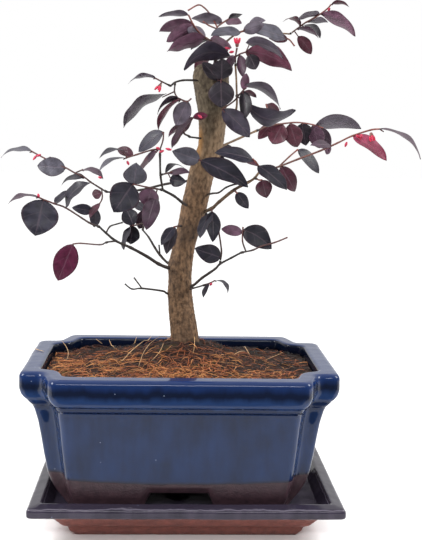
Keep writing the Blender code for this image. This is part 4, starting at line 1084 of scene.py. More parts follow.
@dataclass
class GlazedPot:
    """Oblong pot with cut-in corners, a heavy lip, a leaning body and an arched foot.

    All sizes are in millimetres, and the runs are points between two eased corners.
    """

    middle: float = -5.0
    base: float = 19.3
    height: float = 88.8
    arch_height: float = 11.6
    arch_top: float = 19.0
    arch_foot: float = 24.0
    arch_reach: float = 16.0
    drain_radius: float = 9.0
    long_run: int = 84
    short_run: int = 46
    notch_run: int = 3
    inside_tint_gap: int = 4
    # Inside, outside and hollow foot: drop below the rim or rise above the foot, half width,
    # half depth, notch width and notch depth
    inside: tuple[tuple[float, ...], ...] = (
        (0.0, 92.5, 64.8, 18.0, 23.0), (1.2, 91.2, 63.6, 17.6, 22.6), (20.0, 87.6, 62.4, 16.6, 21.4),
        (33.0, 85.0, 61.4, 16.0, 20.4), (62.0, 79.0, 58.2, 14.6, 18.0), (70.8, 76.0, 55.8, 14.0, 17.0),
    )
    outside: tuple[tuple[float, ...], ...] = (
        (0.0, 101.4, 74.5, 21.0, 23.5), (0.9, 103.3, 76.6, 21.9, 23.8), (3.0, 104.2, 77.5, 22.0, 23.8),
        (11.0, 104.2, 77.5, 22.0, 23.8), (14.5, 103.1, 77.3, 22.4, 23.6), (16.9, 101.2, 77.0, 22.4, 23.0),
        (17.5, 100.6, 75.8, 22.2, 22.2), (18.1, 99.9, 74.6, 21.8, 21.6), (18.9, 99.1, 74.5, 21.3, 21.2),
        (20.9, 96.9, 73.9, 20.2, 20.0), (21.6, 96.3, 72.2, 19.8, 19.0), (22.2, 95.9, 71.0, 19.4, 18.4),
        (25.0, 94.6, 69.7, 18.2, 17.4), (33.0, 92.3, 68.6, 16.8, 16.2), (43.0, 90.6, 67.4, 15.8, 15.4),
        (55.0, 88.7, 66.2, 15.0, 14.5), (67.0, 86.4, 64.8, 14.0, 13.6), (74.0, 83.8, 64.0, 12.4, 13.0),
        (80.0, 80.0, 63.2, 10.0, 12.0), (84.5, 75.8, 62.3, 7.4, 10.6), (88.8, 72.0, 61.5, 5.6, 9.0),
    )
    under: tuple[tuple[float, ...], ...] = ((0.0, 64.0, 52.5, 8.0, 8.0), (12.0, 62.5, 51.0, 8.0, 8.0))
    inside_bite: float = 0.75
    inside_tint: str = "#a08c80"
    # The bands paint a shadow under the lip at 84 mm and a dark reflection on the lip's face at 94.5 mm, with
    # lighter glaze between them and on the rim
    finish: StonewareGlaze = StonewareGlaze(
        "cobalt_glazed_stoneware", deep="#0d1c38", thin="#15294e", clay="#48343a", burnt="#1f181e",
        line_height=37.2 * MM, sag=0.5, bare_gloss=0.3, painted_light_bands=(
            (84.0, 2.0, "#0f1d3a"), (89.0, 2.5, "#1b2f54"), (94.5, 4.0, "#0a1328"), (100.5, 4.0, "#13264e")))

    @property
    def rim(self) -> float:
        """Height of the rim in millimetres."""
        return self.base + self.height

    def outlines(self, rows: Array) -> Array:
        """Outlines with cut-in corners, three corners to a quarter.

        A quarter's corners are (w, d - ny), (w - 0.7 nx, d - bite ny) and (w - nx, d), each
        eased by 0.3 of the smaller notch side and by 5 mm at most.

        Args:
            rows: array (n, 5): half width w, half depth d, notch nx, notch ny, bite.
        Returns:
            Array (n, points, 2) in millimetres, round the pot's own middle.
        """
        w, d, nx, ny, bite = rows.T
        ease = np.minimum(5.0, 0.3 * np.minimum(nx, ny))
        spots = ((w, d - ny), (w - 0.7 * nx, d - bite * ny), (w - nx, d))
        quarter = np.stack([np.stack([x, y, ease], -1) for x, y in spots], 1)
        back = quarter[:, ::-1]
        turns = ((quarter, 1, 1), (back, -1, 1), (quarter, -1, -1), (back, 1, -1))
        corners = np.concatenate([part * np.array((sx, sy, 1)) for part, sx, sy in turns], 1)
        notch = self.notch_run
        counts = (notch, notch, self.long_run, notch, notch, self.short_run) * 2
        return eased_outline(corners[..., :2], corners[..., 2:], counts)

    def rows(self) -> Array:
        """Rows from the floor up the inside, over the rim, down the outside and up the foot's hollow.

        Returns:
            Array (n, 6): height, half width, half depth, notch width, notch depth, bite.
        """
        def lift(table: tuple[tuple[float, ...], ...], top: float, sign: int, bite: float) -> Array:
            """Put a table's first column at its height and add the bite column."""
            rows = np.array(table)
            return np.column_stack([top + sign * rows[:, 0], rows[:, 1:], np.full(len(rows), bite)])

        inner = lift(self.inside, self.rim, -1, self.inside_bite)[::-1]
        wall = np.vstack([inner[3:], lift(self.outside, self.rim, -1, 1.0)])
        return np.vstack([inner[:3], soften(wall, 0.8, 1), lift(self.under, self.base, 1, 1.0)])

    def arched(self, points: Array) -> Array:
        """Raise the foot into an arch at front and back.

        Height h above the foot, where h is under the arch's reach, becomes h plus the rise
        times 1 - h / reach; the rise falls from the arch's height to nothing between its
        top and foot widths.

        Args:
            points: array (..., 3) in millimetres, round the pot's middle.
        Returns:
            The same array with changed heights.
        """
        across, deep = np.abs(points[..., 0]), np.abs(points[..., 1])
        rise = self.arch_height * np.clip((self.arch_foot - across) / (self.arch_foot - self.arch_top), 0, 1)
        rise = np.where(deep > self.under[1][2] - 0.5, rise, 0.0)
        free = np.clip(1 - (points[..., 2] - self.base) / self.arch_reach, 0, 1)
        points[..., 2] += rise * free
        return points

    def build(self) -> None:
        """Build the pot as one closed wall round its drainage hole."""
        rows = self.rows()
        rings = self.arched(at_heights(self.outlines(rows[:, 1:]), rows[:, 0]))
        angle = np.arctan2(rings[0, :, 1], rings[0, :, 0])
        hole = self.drain_radius * np.stack([np.cos(angle), np.sin(angle)], -1)[None]
        floor, ceiling = at_heights(hole, rows[:1, 0]), at_heights(hole, rows[-1:, 0])
        rings = np.concatenate([floor, rings, ceiling, floor])
        rings[..., 0] += self.middle
        rings *= MM
        # The wall is pressed clay: its faces waver by a third of a millimetre
        rings[..., :2] *= 1 + 0.003 * ripple(rings, 55 * MM, 11)[..., None]
        # The inside is tinted darker and browner, up to a few rings below the rim
        inside = np.arange(len(rings) - 1) <= np.argmax(rings[:, 0, 2]) - self.inside_tint_gap
        tint = np.where(inside[:, None, None], linear(self.inside_tint), linear("#ffffff"))
        put_mesh("glazed_pot", [grid(rings, tint)], [self.finish.build()], "pot")


@dataclass
class Compost:
    """Peat and coir in the pot: a crumbled mound, a mat of fibres and long loose strands."""

    pot: GlazedPot
    edge_drop: float = 5.3
    mound: float = 14.5
    back_drop: float = 3.0
    hole_radius: float = 10.15
    columns: int = 240
    rows: int = 70
    # Depths under the rim of the rings below the mound, and how they keep clear of the pot
    drops: tuple[float, ...] = (66.0, 62.0, 33.0, 20.0, 8.0)
    wall_gap: float = 0.4
    snug: float = 0.995
    edge_gap: float = 0.6
    seed: int = 21
    fibre_count: int = 6600
    fibre_stations: int = 6
    fibre_length: tuple[float, float] = (4.0, 17.0)
    fibre_thickness: tuple[float, float] = (0.11, 0.26)
    # Spread of a fibre's turn and of its wobble in radians, its height over the soil, the mean
    # and the most of its arch, and the share of the way to the soil's edge that it keeps to
    fibre_turn: float = 1.0
    fibre_wobble: float = 0.25
    fibre_height: tuple[float, float] = (0.1, 1.2)
    fibre_arch: tuple[float, float] = (0.9, 2.2)
    mat_edge: float = 0.985
    # Fibres from nearly black to pale, and the strands
    shades: tuple[str, ...] = ("#130d0c", "#2f1c17", "#663620", "#9f5429", "#c3864e")
    strand_shade: str = "#c9a070"
    # Depth behind which a strand's end stands up, and how far left of the middle the rim begins
    back_end: float = 38.0
    left_rim: float = 91.0
    # Long strands: two pixels, then twice the height of their bow in millimetres
    strands: tuple[tuple[float, ...], ...] = (
        (152, 335.3, 119.8, 368.6, 3.5), (170.9, 330.7, 185.3, 352.6, 3), (61, 340, 66, 363, 2.5),
        (32, 353, 44.5, 357, 3.5), (196.8, 352, 163.5, 360.6, 2.5), (178.4, 349, 138, 372.6, 3),
        (95.7, 338.8, 102.6, 344, 2.5), (188, 339, 167, 352.5, 2.5), (163.5, 360.6, 149.7, 369.2, 1.5),
        (242.7, 350, 249.6, 361.7, 2), (233.5, 365, 245, 358.3, 2), (185.3, 352.6, 193, 366, 2),
        (109, 339.3, 114.7, 353.7, 2.5), (136.5, 337, 133.6, 346.8, 2), (283, 352, 262, 366, 2),
    )

    def __post_init__(self) -> None:
        """Work out the trunk's foot, the soil's edge and its radius at each angle."""
        self.edge_height = (self.pot.rim - self.edge_drop) * MM
        self.foot = SIGHT.place(np.array(TRUNK[0][:3]))[:2]
        table = np.array(self.pot.inside)
        w, d, nx, ny = (float(np.interp(self.edge_drop, table[:, 0], table[:, k])) for k in range(1, 5))
        row = (w - self.edge_gap, d - self.edge_gap, nx, ny, self.pot.inside_bite)
        edge = self.pot.outlines(np.array([row]))[0] * MM + np.array((self.pot.middle * MM, 0.0)) - self.foot
        angle = np.arctan2(edge[:, 1], edge[:, 0])
        order = np.argsort(angle)
        self.angles, self.reaches = angle[order], np.linalg.norm(edge, axis=1)[order]

    def reach(self, angle: Array) -> Array:
        """Distance from the trunk's middle to the soil's edge at an angle."""
        return np.interp(angle, self.angles, self.reaches, period=2 * math.pi)

    def surface(self, x: Array, y: Array) -> Array:
        """Height of the soil at points.

        From the edge, share s of the way to the trunk, it is the edge's height plus the
        mound times s to the power 2.2, lowered by up to the back drop at the back edge.

        Args:
            x: array of X in metres.
            y: array of Y in metres.
        Returns:
            Array of Z in metres.
        """
        dx, dy = x - self.foot[0], y - self.foot[1]
        radius, reach = np.hypot(dx, dy), self.reach(np.arctan2(dy, dx))
        share = np.clip((reach - radius) / (reach - self.hole_radius * MM), 0, 1)
        back = self.back_drop * np.clip(y / 0.06, 0, 1) * (1 - share)
        return self.edge_height + (self.mound * share ** 2.2 - back) * MM

    def build_mound(self) -> None:
        """Build the peat: a closed body whose top is crumbled by two sizes of ripple."""
        angle = np.linspace(-math.pi, math.pi, self.columns, endpoint=False)
        ways = np.stack([np.cos(angle), np.sin(angle)], -1)
        share = np.linspace(1.0, 0.0, self.rows)[:, None, None]
        flat = self.foot + ways * (self.reach(angle)[:, None] * share)
        top = np.concatenate([flat, self.surface(flat[..., 0], flat[..., 1])[..., None]], -1)
        crumbs = ripple(top, 5 * MM, 5) * 0.6 + ripple(top, 12 * MM, 6) * 0.9
        top[..., 2] += crumbs * MM * np.clip((1 - np.abs(2 * share[..., 0] - 1)) * 6, 0, 1)
        drops, table = np.array(self.drops), np.array(self.pot.inside)
        half_widths = np.interp(drops, table[:, 0], table[:, 1]) - self.wall_gap
        shrink = (half_widths / half_widths[-1])[:, None, None]
        centre = np.array((self.pot.middle * MM, 0.0))
        wall = at_heights(centre + (flat[0] - centre) * shrink * self.snug, (self.pot.rim - drops) * MM)
        bottom = np.broadcast_to(wall[:1].mean(1, keepdims=True), wall[:1].shape)
        put_mesh("peat", [grid(np.concatenate([bottom, wall, top]))], [Peat().build()], "soil")

    def fibre_paths(self, rng: np.random.Generator) -> tuple[Array, Array]:
        """Draw the curls of the short fibres.

        A fibre's heading turns evenly along it, with a wobble at each station. It lies over
        the soil, arches up in its middle and stays inside the mat's edge.

        Args:
            rng: the random generator.
        Returns:
            Paths (fibres, stations, 3) and half thicknesses (fibres).
        """
        count, stations = self.fibre_count, self.fibre_stations
        angle = rng.uniform(-math.pi, math.pi, count)
        share = np.sqrt(rng.uniform(0.02, 0.98, count))
        ways = np.stack([np.cos(angle), np.sin(angle)], -1)
        start = self.foot + ways * (self.reach(angle) * share)[:, None]
        length = rng.uniform(*self.fibre_length, count) * MM
        heading = rng.uniform(0, 2 * math.pi, count)[:, None]
        bend = rng.normal(0, self.fibre_turn, count)[:, None] * np.linspace(0, 1, stations)
        heading = heading + bend + rng.normal(0, self.fibre_wobble, (count, stations))
        steps = np.stack([np.cos(heading), np.sin(heading)], -1) * (length / (stations - 1))[:, None, None]
        flat = start[:, None] + np.cumsum(steps, 1) - steps[:, :1]
        away = flat - self.foot
        radius = np.linalg.norm(away, axis=-1)
        limit = self.reach(np.arctan2(away[..., 1], away[..., 0])) * self.mat_edge
        flat = self.foot + away * np.minimum(1, limit / radius)[..., None]
        mean, most = self.fibre_arch
        arch = np.sin(np.linspace(0, math.pi, stations))
        lift = np.minimum(rng.exponential(mean, count), most)[:, None] * arch
        lift = lift + rng.uniform(*self.fibre_height, count)[:, None]
        height = self.surface(flat[..., 0], flat[..., 1]) + lift * MM
        thick = rng.uniform(*self.fibre_thickness, count) * MM
        return np.concatenate([flat, height[..., None]], -1), thick

    def strip(self, paths: Array, thick: Array, tints: Array) -> Patch:
        """Three-sided fibres along many paths at once, pointed at both ends.

        A corner is the path's point plus the half thickness times cos and sin of its angle,
        along the fibre's level crosswise direction and straight up.

        Args:
            paths: array (fibres, stations, 3).
            thick: half thickness of each fibre.
            tints: linear colour of each fibre, (fibres, 4).
        Returns:
            One patch of all the fibres.
        """
        count, stations = paths.shape[:2]
        along = unit(np.gradient(paths, axis=1))
        side = unit(np.cross(along, np.array((0.0, 0.0, 1.0))))
        other = np.cross(along, side)
        a = circle(3)
        taper = np.sin(np.linspace(0, math.pi, stations)) ** 0.35
        taper[[0, -1]] = 0.0
        width = (thick[:, None] * taper)[..., None, None]
        ring = np.cos(a)[:, None] * side[:, :, None] + np.sin(a)[:, None] * other[:, :, None]
        points = paths[:, :, None] + ring * width
        n, i, j = np.meshgrid(np.arange(count), np.arange(stations - 1), np.arange(3), indexing="ij")
        low, high, k = (n * stations + i) * 3, (n * stations + i + 1) * 3, (j + 1) % 3
        faces = np.stack([low + j, low + k, high + k, high + j], -1).reshape(-1, 4)
        per_face = np.repeat(tints, (stations - 1) * 3, axis=0)
        return Patch(points.reshape(-1, 3), faces, np.zeros((len(faces), 4, 2)), per_face,
                     np.zeros(len(faces), dtype=int))

    def build_fibres(self) -> None:
        """Build the mat of coir: orange brown at the front and left, darker round the trunk and
        towards the back, where it is partly the peat's own colour and partly painted shade.

        A place's warmth is 0.4 - y / 110 mm - x / 400 mm plus 0.28 of a ripple, kept from
        0.06 to 0.64 and lessened within 40 mm of the trunk. A fibre's shade runs with the
        warmth plus 0.25 of a finer ripple, the clump, and a random share of 0.33. It is kept
        with a chance of 0.22 plus 0.8 of the warmth plus 0.55 of the clump.
        """
        rng = np.random.default_rng(self.seed)
        paths, thick = self.fibre_paths(rng)
        place = paths[:, 0]
        clump = ripple(place, 9 * MM, 12)
        # Less warmth, so darker and fewer fibres, towards the back: partly the peat's own colour, partly
        # painted shade
        warm = 0.4 - place[:, 1] / 0.11 - place[:, 0] / 0.4
        warm = np.clip(warm + 0.28 * ripple(place, 32 * MM, 9), 0.06, 0.64)
        warm *= np.clip(np.linalg.norm(place[:, :2] - self.foot, axis=1) / 0.04, 0.2, 1)
        pick = np.clip(warm + 0.25 * clump + rng.normal(0, 0.33, len(paths)), 0, 1)
        shown = rng.uniform(0, 1, len(paths)) < 0.22 + 0.8 * warm + 0.55 * clump
        paths, thick, pick = paths[shown], thick[shown], pick[shown]
        shades = np.array([linear(shade) for shade in self.shades])
        steps = np.linspace(0, 1, len(shades))
        tints = np.stack([np.interp(pick, steps, shades[:, k]) for k in range(4)], -1)
        finish = TintedGrowth("coir_fibre", roughness=0.62, mottle=0.25, scale=500.0, relief=0.05 * MM)
        put_mesh("coir_fibres", [self.strip(paths, thick, tints)], [finish.build()])

    def build_strands(self) -> None:
        """Build the long pale strands that lie loose across the mat.

        Each runs between its two pixels on the soil, with a bow sideways and upwards; an end
        that would lie behind the soil stands up from its back instead. The first is thicker.
        """
        rng = np.random.default_rng(self.seed + 1)
        picks = np.array(self.strands)
        ends = []
        for k in (0, 2):
            flat = SIGHT.on_level(picks[:, k:k + 2], self.edge_height + 2 * MM)
            raised = SIGHT.place(np.column_stack([picks[:, k:k + 2], np.full(len(picks), self.back_end)]))
            ends.append(np.where(flat[:, 1:2] > self.back_end * MM, raised, flat))
        t = np.linspace(0, 1, 14)
        run = ends[1] - ends[0]
        bow = np.cross(run, np.array((0, 0, 1.0))) * rng.uniform(-0.08, 0.08, len(picks))[:, None]
        paths = ends[0][:, None] + run[:, None] * t[:, None] + bow[:, None] * np.sin(math.pi * t)[:, None]
        soil = self.surface(paths[..., 0], paths[..., 1])
        lift = (3.0 + 0.5 * picks[:, 4:5] * np.sin(math.pi * t)) * MM
        past_rim = paths[..., 0] < (self.pot.middle - self.left_rim) * MM
        rim = np.where(past_rim, self.pot.rim * MM + 0.6 * MM, 0)
        paths[..., 2] = np.maximum(np.maximum(soil + lift, paths[..., 2]), rim)
        tints = np.array([linear(self.strand_shade)] * len(picks)) * rng.uniform(0.7, 1.15, (len(picks), 1))
        finish = TintedGrowth("loose_coir_strand", roughness=0.5, mottle=0.2, scale=300.0, relief=0.05 * MM)
        thick = np.where(np.arange(len(picks)) < 1, 0.34, 0.24) * MM
        put_mesh("coir_strands", [self.strip(paths, thick, tints)], [finish.build()])

    def build(self) -> None:
        """Build the mound, the fibres and the strands."""
        self.build_mound()
        self.build_fibres()
        self.build_strands()


@dataclass
class Wood:
    """Trunk with its cut top, the limbs and bare twigs, and the spurs that bear the sprays."""

    soil: Compost
    hole_depth: float = 21.7
    foot_radius: float = 9.6
    trunk_radius: float = 8.6
    young: tuple[str, str] = ("#453629", "#7c6249")
    old: tuple[str, str] = ("#342a25", "#211b1a")
    spur: str = "#2c2320"
    stations: int = 420
    sides: int = 84
    # Ripples of the bark: wavelength and swell, how much they are drawn out upwards, and seed
    ripples: tuple[tuple[float, float, float, int], ...] = (
        (16.0, 0.45, 0.4, 31), (6.0, 0.28, 0.4, 32), (2.6, 0.22, 1.0, 33))
    # Root flares: how many, their turn in radians, their mean and varying swell, the height
    # over the sole up to which they are full, and the height over which they fade
    flares: int = 4
    flare_turn: float = 0.7
    flare_swell: tuple[float, float] = (0.35, 0.5)
    flare_top: float = 18.0
    flare_fade: float = 10.0
    # Collars: how near the trunk's line a limb's root is, the extra width, and the swell of
    # any collar and for each millimetre of the limb's radius
    limb_near: float = 4.0
    collar_width: float = 2.0
    collar_swell: tuple[float, float] = (0.5, 0.45)
    # Picks of the peeled strip and of where the green bark starts
    peeled: Pick = (196.0, 141.0, 3.0)
    green: Pick = (212.0, 112.0, 8.0)

    def trunk_line(self) -> tuple[Array, Array]:
        """Smooth centre line and radius of the trunk, from its sole to its cut top.

        Returns:
            Line (n, 3) and radii (n) in metres.
        """
        picks = np.array(TRUNK)
        points, radii = SIGHT.place(picks[:, :3]), picks[:, 3] * MM
        foot = np.array((*points[0][:2], self.soil.edge_height + self.soil.mound * MM))
        sole = foot - np.array((0, 0, self.hole_depth * MM))
        rows = np.column_stack([np.vstack([sole, foot, points[1:]]),
                                np.concatenate([[self.foot_radius * MM] * 2, radii[1:]])])
        rows = smooth_line(rows, self.stations)
        return rows[:, :3], rows[:, 3]

    def build_trunk(self) -> None:
        """Build the trunk, which swells by ripples, root flares and a bell round each limb's root."""
        line, radii = self.trunk_line()
        rings = tube(line, radii, self.sides)
        body = rings[1:-1]
        out = unit(body - line[:, None])
        swell = np.zeros(body.shape[:2])
        for wavelength, height, rise, seed in self.ripples:
            swell += height * ripple(body * np.array((1.0, 1.0, rise)), wavelength * MM, seed)
        over = np.clip(body[..., 2] - line[0, 2] - self.flare_top * MM, 0, None)
        mean, wave = self.flare_swell
        flare = mean + wave * np.cos(self.flares * circle(self.sides) + self.flare_turn)
        swell += np.exp(-over / (self.flare_fade * MM)) * flare
        for limb in LIMBS:
            root, ahead = SIGHT.place(np.array(limb.points[:2]))
            if np.linalg.norm(line - root, axis=1).min() > self.limb_near * MM:
                continue
            width = (self.collar_width + limb.root) * MM
            seat = root + unit(ahead - root) * self.trunk_radius * MM
            near = np.exp(-((body - seat) ** 2).sum(-1) / (2 * width ** 2))
            swell += (self.collar_swell[0] + self.collar_swell[1] * limb.root) * near
        body += out * swell[..., None] * MM
        strip, green = SIGHT.place(np.array((self.peeled, self.green)))
        bark = FringeFlowerBark(green_from=float(green[2]), strip_at=tuple(strip))
        put_mesh("trunk_bark", [grid(rings)], [bark.build()], "trunk")

    def build_limbs(self) -> None:
        """Build limbs, bare twigs and spurs: knotted tubes that thin towards their ends."""
        patches = []
        for seed, limb in enumerate(LIMBS):
            # The upper limbs on the right are young and tan, the others nearly black
            young = limb.points[-1][0] > 225 and limb.points[-1][1] < 175
            patches.append(twig(limb, seed, shades=self.young if young else self.old))
        for spray in SPRAYS.values():
            root, end, _ = spur_ends(spray)
            radius = (spray.stems[0].root + 0.15) * MM
            line = root + (end - root) * np.linspace(0, 1, 3)[:, None]
            patches.append(grid(tube(line, np.full(3, radius), 8), linear(self.spur)))
        finish = TintedGrowth("twig_bark", roughness=0.75, mottle=0.35, scale=600.0, relief=0.3 * MM)
        put_mesh("limb_bark", patches, [finish.build()], "trunk")

    def build(self) -> None:
        """Build the trunk and its limbs."""
        self.build_trunk()
        self.build_limbs()


def twig(stem: Stem, seed: int, slot: int = 0, start: Array | None = None,
         shades: tuple[str, str] = DARK_TWIG) -> Patch:
    """Knotted tube along a stem's picks.

    The radius runs from the first to the last value, times 1 plus a tenth of a ripple, with
    a small collar at each pick, where a leaf once sat.

    Args:
        stem: the stem.
        seed: number that fixes its unevenness.
        slot: material slot.
        start: point that replaces the first pick's.
        shades: hex colours at its root and its tip.
    Returns:
        The patch.
    """
    points = SIGHT.place(np.array(stem.points))
    if start is not None:
        points[0] = start
    count = 6 * (len(points) - 1) + 1
    line = smooth_line(points, count)
    at = np.linspace(0, len(points) - 1, count)
    radii = np.interp(at, (0, len(points) - 1), (stem.root, stem.tip)) * SLIM * MM
    collar = np.exp(-((at - np.round(at)) / 0.12) ** 2)
    radii = radii * (1 + 0.10 * ripple(line, 7 * MM, seed) + 0.14 * collar * (at > 0.5))
    a, b = (np.array(linear(shade)) for shade in shades)
    fade = np.linspace(0, 1, count + 1)[:, None, None]
    return grid(tube(line, radii, 8), a + (b - a) * np.broadcast_to(fade, (count + 1, 8, 1)), slot)


def spur_ends(spray: Spray) -> tuple[Array, Array, Array]:
    """Where a spray's spur starts and ends.

    Args:
        spray: the spray.
    Returns:
        Its start, its end and the direction between them.
    """
    root, ahead = SIGHT.place(np.array(spray.stems[0].points[:2]))
    along = unit(ahead - root)
    return root, root + along * spray.spur * MM, along


@dataclass
class Foliage:
    """The leafy sprays: each has its stems, petioles and blades in one piece."""

    blade_thickness: float = 0.36
    petiole: str = "#4a2629"
    petiole_radius: float = 0.42
    petiole_taper: tuple[float, float] = (1.15, 0.8)
    # Share of the blade's length that the petiole runs into, and how short one is left out
    petiole_into: float = 0.1
    short_petiole: float = 2.5
    leaf_gap: float = 0.3
    width_to_length: float = 0.5
    # Powers that shape the outline: under 1, the first moves the widest place towards the
    # base, and the second makes the ends fuller
    skew: float = 0.85
    fullness: float = 0.75
    # Share of the length by which the spine arches, how strongly the tip droops and from where
    arch: float = 0.04
    droop: float = 0.375
    droop_from: float = 0.72
    # Share of the half width by which the edges stand up, and how round the fold is
    fold: float = 0.18
    fold_round: float = 0.03
    # Drawn for each leaf: waves along its margin, their height to its width, and its shade
    wave_turns: tuple[float, float] = (1.2, 2.2)
    wave_height: tuple[float, float] = (0.02, 0.05)
    shade_range: tuple[float, float] = (0.85, 1.18)
    rows: int = 15
    columns: int = 16
    seed: int = 4

    def nearest_on(self, stems: tuple[Stem, ...], pixel: tuple[float, float]) -> Array:
        """Nearest pick on some stems to a pixel, between their own picks.

        Args:
            stems: the stems.
            pixel: pixel across and down.
        Returns:
            Pixel across, pixel down and depth.
        """
        found = []
        for stem in stems:
            picks = np.array(stem.points, dtype=float)
            run = np.diff(picks, axis=0)
            share = ((np.array(pixel) - picks[:-1, :2]) * run[:, :2]).sum(1) / (run[:, :2] ** 2).sum(1)
            near = picks[:-1] + run * np.clip(share, 0, 1)[:, None]
            away = np.linalg.norm(near[:, :2] - np.array(pixel), axis=1)
            found.append((away.min(), tuple(near[away.argmin()])))
        return np.array(min(found)[1])

    def blade_frame(self, base: Array, tip: Array, leaf: Leaf) -> tuple[float, float, Array, Array, Array]:
        """Lay a blade so that it shows as the picture has it.

        A blade is at least the usual share of its length wide, so one that shows narrower
        is rolled about its length by the angle whose cosine is shown width over width.

        Args:
            base: where the blade starts.
            tip: where it ends.
            leaf: its pick.
        Returns:
            Length, width, crosswise and upper-face directions, and the bow's lift.
        """
        eye = np.array(SIGHT.eye)
        middle = (base + tip) / 2
        length = float(np.linalg.norm(tip - base))
        along, view = unit(tip - base), unit(middle - eye)
        across = unit(np.cross(along, view))
        facing = np.cross(across, along)
        facing = -facing if facing @ view > 0 else facing
        scale = float(np.linalg.norm(middle - eye)) / SIGHT.focal
        shown = leaf.width * scale
        width = max(shown, self.width_to_length * length)
        roll = math.acos(min(1.0, shown / width))
        turned = [facing * math.cos(roll) + across * math.sin(roll) * sign for sign in (1, -1)]
        upper_shows = leaf.side == "u" or (leaf.side == "" and middle[2] < eye[2])
        normal = max(turned, key=lambda n: n[2] if upper_shows else -n[2])
        upper = normal if upper_shows else -normal
        lift = across * (leaf.bow * scale * (1 if across[2] > 0 else -1))
        return length, width, unit(np.cross(upper, along)), upper, lift

    def blade(self, base: Array, tip: Array, leaf: Leaf, rng: np.random.Generator) -> Patch:
        """One blade as a flattened tube: a lens-shaped ring carried from base to tip.

        Round the ring, u = cos a runs across the blade and sin a through its thickness. At
        share t along it, the half width is half the width times sin(pi t ** skew) ** fullness.
        The spine rises as 4 t (1 - t), the edges stand above the midrib by the fold, the
        margin waves with the square of u, and the last part of the blade droops.

        Args:
            base: where the blade starts.
            tip: where it ends.
            leaf: its pick.
            rng: draws its wave and its shade.
        Returns:
            The patch, with U across and V along.
        """
        length, width, side, upper, lift = self.blade_frame(base, tip, leaf)
        t = np.linspace(0, 1, self.rows)[:, None, None]
        a = circle(self.columns)[None, :, None]
        u, s = np.cos(a), np.sin(a)
        reach = width / 2 * np.sin(math.pi * t ** self.skew) ** self.fullness
        rise = 4 * t * (1 - t)
        spine = base + (tip - base) * t + upper * (self.arch * length * rise) + lift * rise
        fold = self.fold * (np.sqrt(u ** 2 + self.fold_round) - math.sqrt(self.fold_round))
        turns, phase = rng.uniform(*self.wave_turns), rng.uniform(0, 2 * math.pi)
        wave = rng.uniform(*self.wave_height) * np.sin(2 * math.pi * turns * t + phase + 1.2 * u) * u ** 2
        droop = -self.droop * np.clip(t - self.droop_from, 0, 1) ** 2 * length
        body = self.blade_thickness * MM / 2 * np.clip(8 * t * (1 - t), 0, 1)
        points = spine + side * (u * reach) + upper * (fold * reach + wave * width + droop * t + s * body)
        faces_up = np.arange(self.columns) < self.columns / 2
        shade = rng.uniform(*self.shade_range)
        top, under = (np.array(linear(hue)) * (shade, shade, shade, 1.0) for hue in leaf.tone.value)
        tint = np.where(faces_up[:, None], top, under)
        u_at = (np.cos(np.arange(self.columns + 1) * 2 * math.pi / self.columns) + 1) / 2
        return grid(points, tint, 0, u_at, np.linspace(0, 1, self.rows))

    def leaf(self, spray: Spray, leaf: Leaf, rng: np.random.Generator) -> list[Patch]:
        """Blade and petiole of a leaf, rooted in the nearest stem of its spray.

        Args:
            spray: the spray.
            leaf: the leaf.
            rng: draws its wave and shade.
        Returns:
            Its patches.
        """
        near = self.nearest_on(spray.stems, leaf.base)
        root = SIGHT.place(near)
        base = SIGHT.place(np.array((*leaf.base, near[2])))
        tip = SIGHT.place(np.array((*leaf.tip, near[2] + leaf.swing)))
        if np.linalg.norm(base - root) <= self.short_petiole * MM:
            base = root
        stalk_end = base + (tip - base) * self.petiole_into
        line = root + (stalk_end - root) * np.linspace(0, 1, 5)[:, None]
        stalk = tube(line, np.linspace(*self.petiole_taper, 5) * self.petiole_radius * MM, 6)
        return [self.blade(base, tip, leaf, rng), grid(stalk, linear(self.petiole), 1)]

    def build_spray(self, name: str, spray: Spray, finishes: list[bpy.types.Material],
                    rng: np.random.Generator) -> None:
        """Build one spray.

        Args:
            name: the spray's name.
            spray: its stems and leaves.
            finishes: leaf and twig finishes.
            rng: draws the leaves' differences.
        """
        _, end, along = spur_ends(spray)
        shades = TAN_TWIG if name.startswith(("crown", "top", "right")) else DARK_TWIG
        first = twig(spray.stems[0], 0, 1, end + along * self.leaf_gap * MM, shades)
        patches = [first] + [twig(stem, 1 + i, 1, None, shades) for i, stem in enumerate(spray.stems[1:])]
        for leaf in spray.leaves:
            patches += self.leaf(spray, leaf, rng)
        put_mesh("leaves_" + name, patches, finishes, "spray_" + name)

    def build(self) -> None:
        """Build every spray."""
        rng = np.random.default_rng(self.seed)
        twigs = TintedGrowth("young_twig", roughness=0.6, mottle=0.3, scale=700.0, relief=0.2 * MM)
        finishes = [FringeFlowerLeaf().build(), twigs.build()]
        for name, spray in SPRAYS.items():
            self.build_spray(name, spray, finishes, rng)


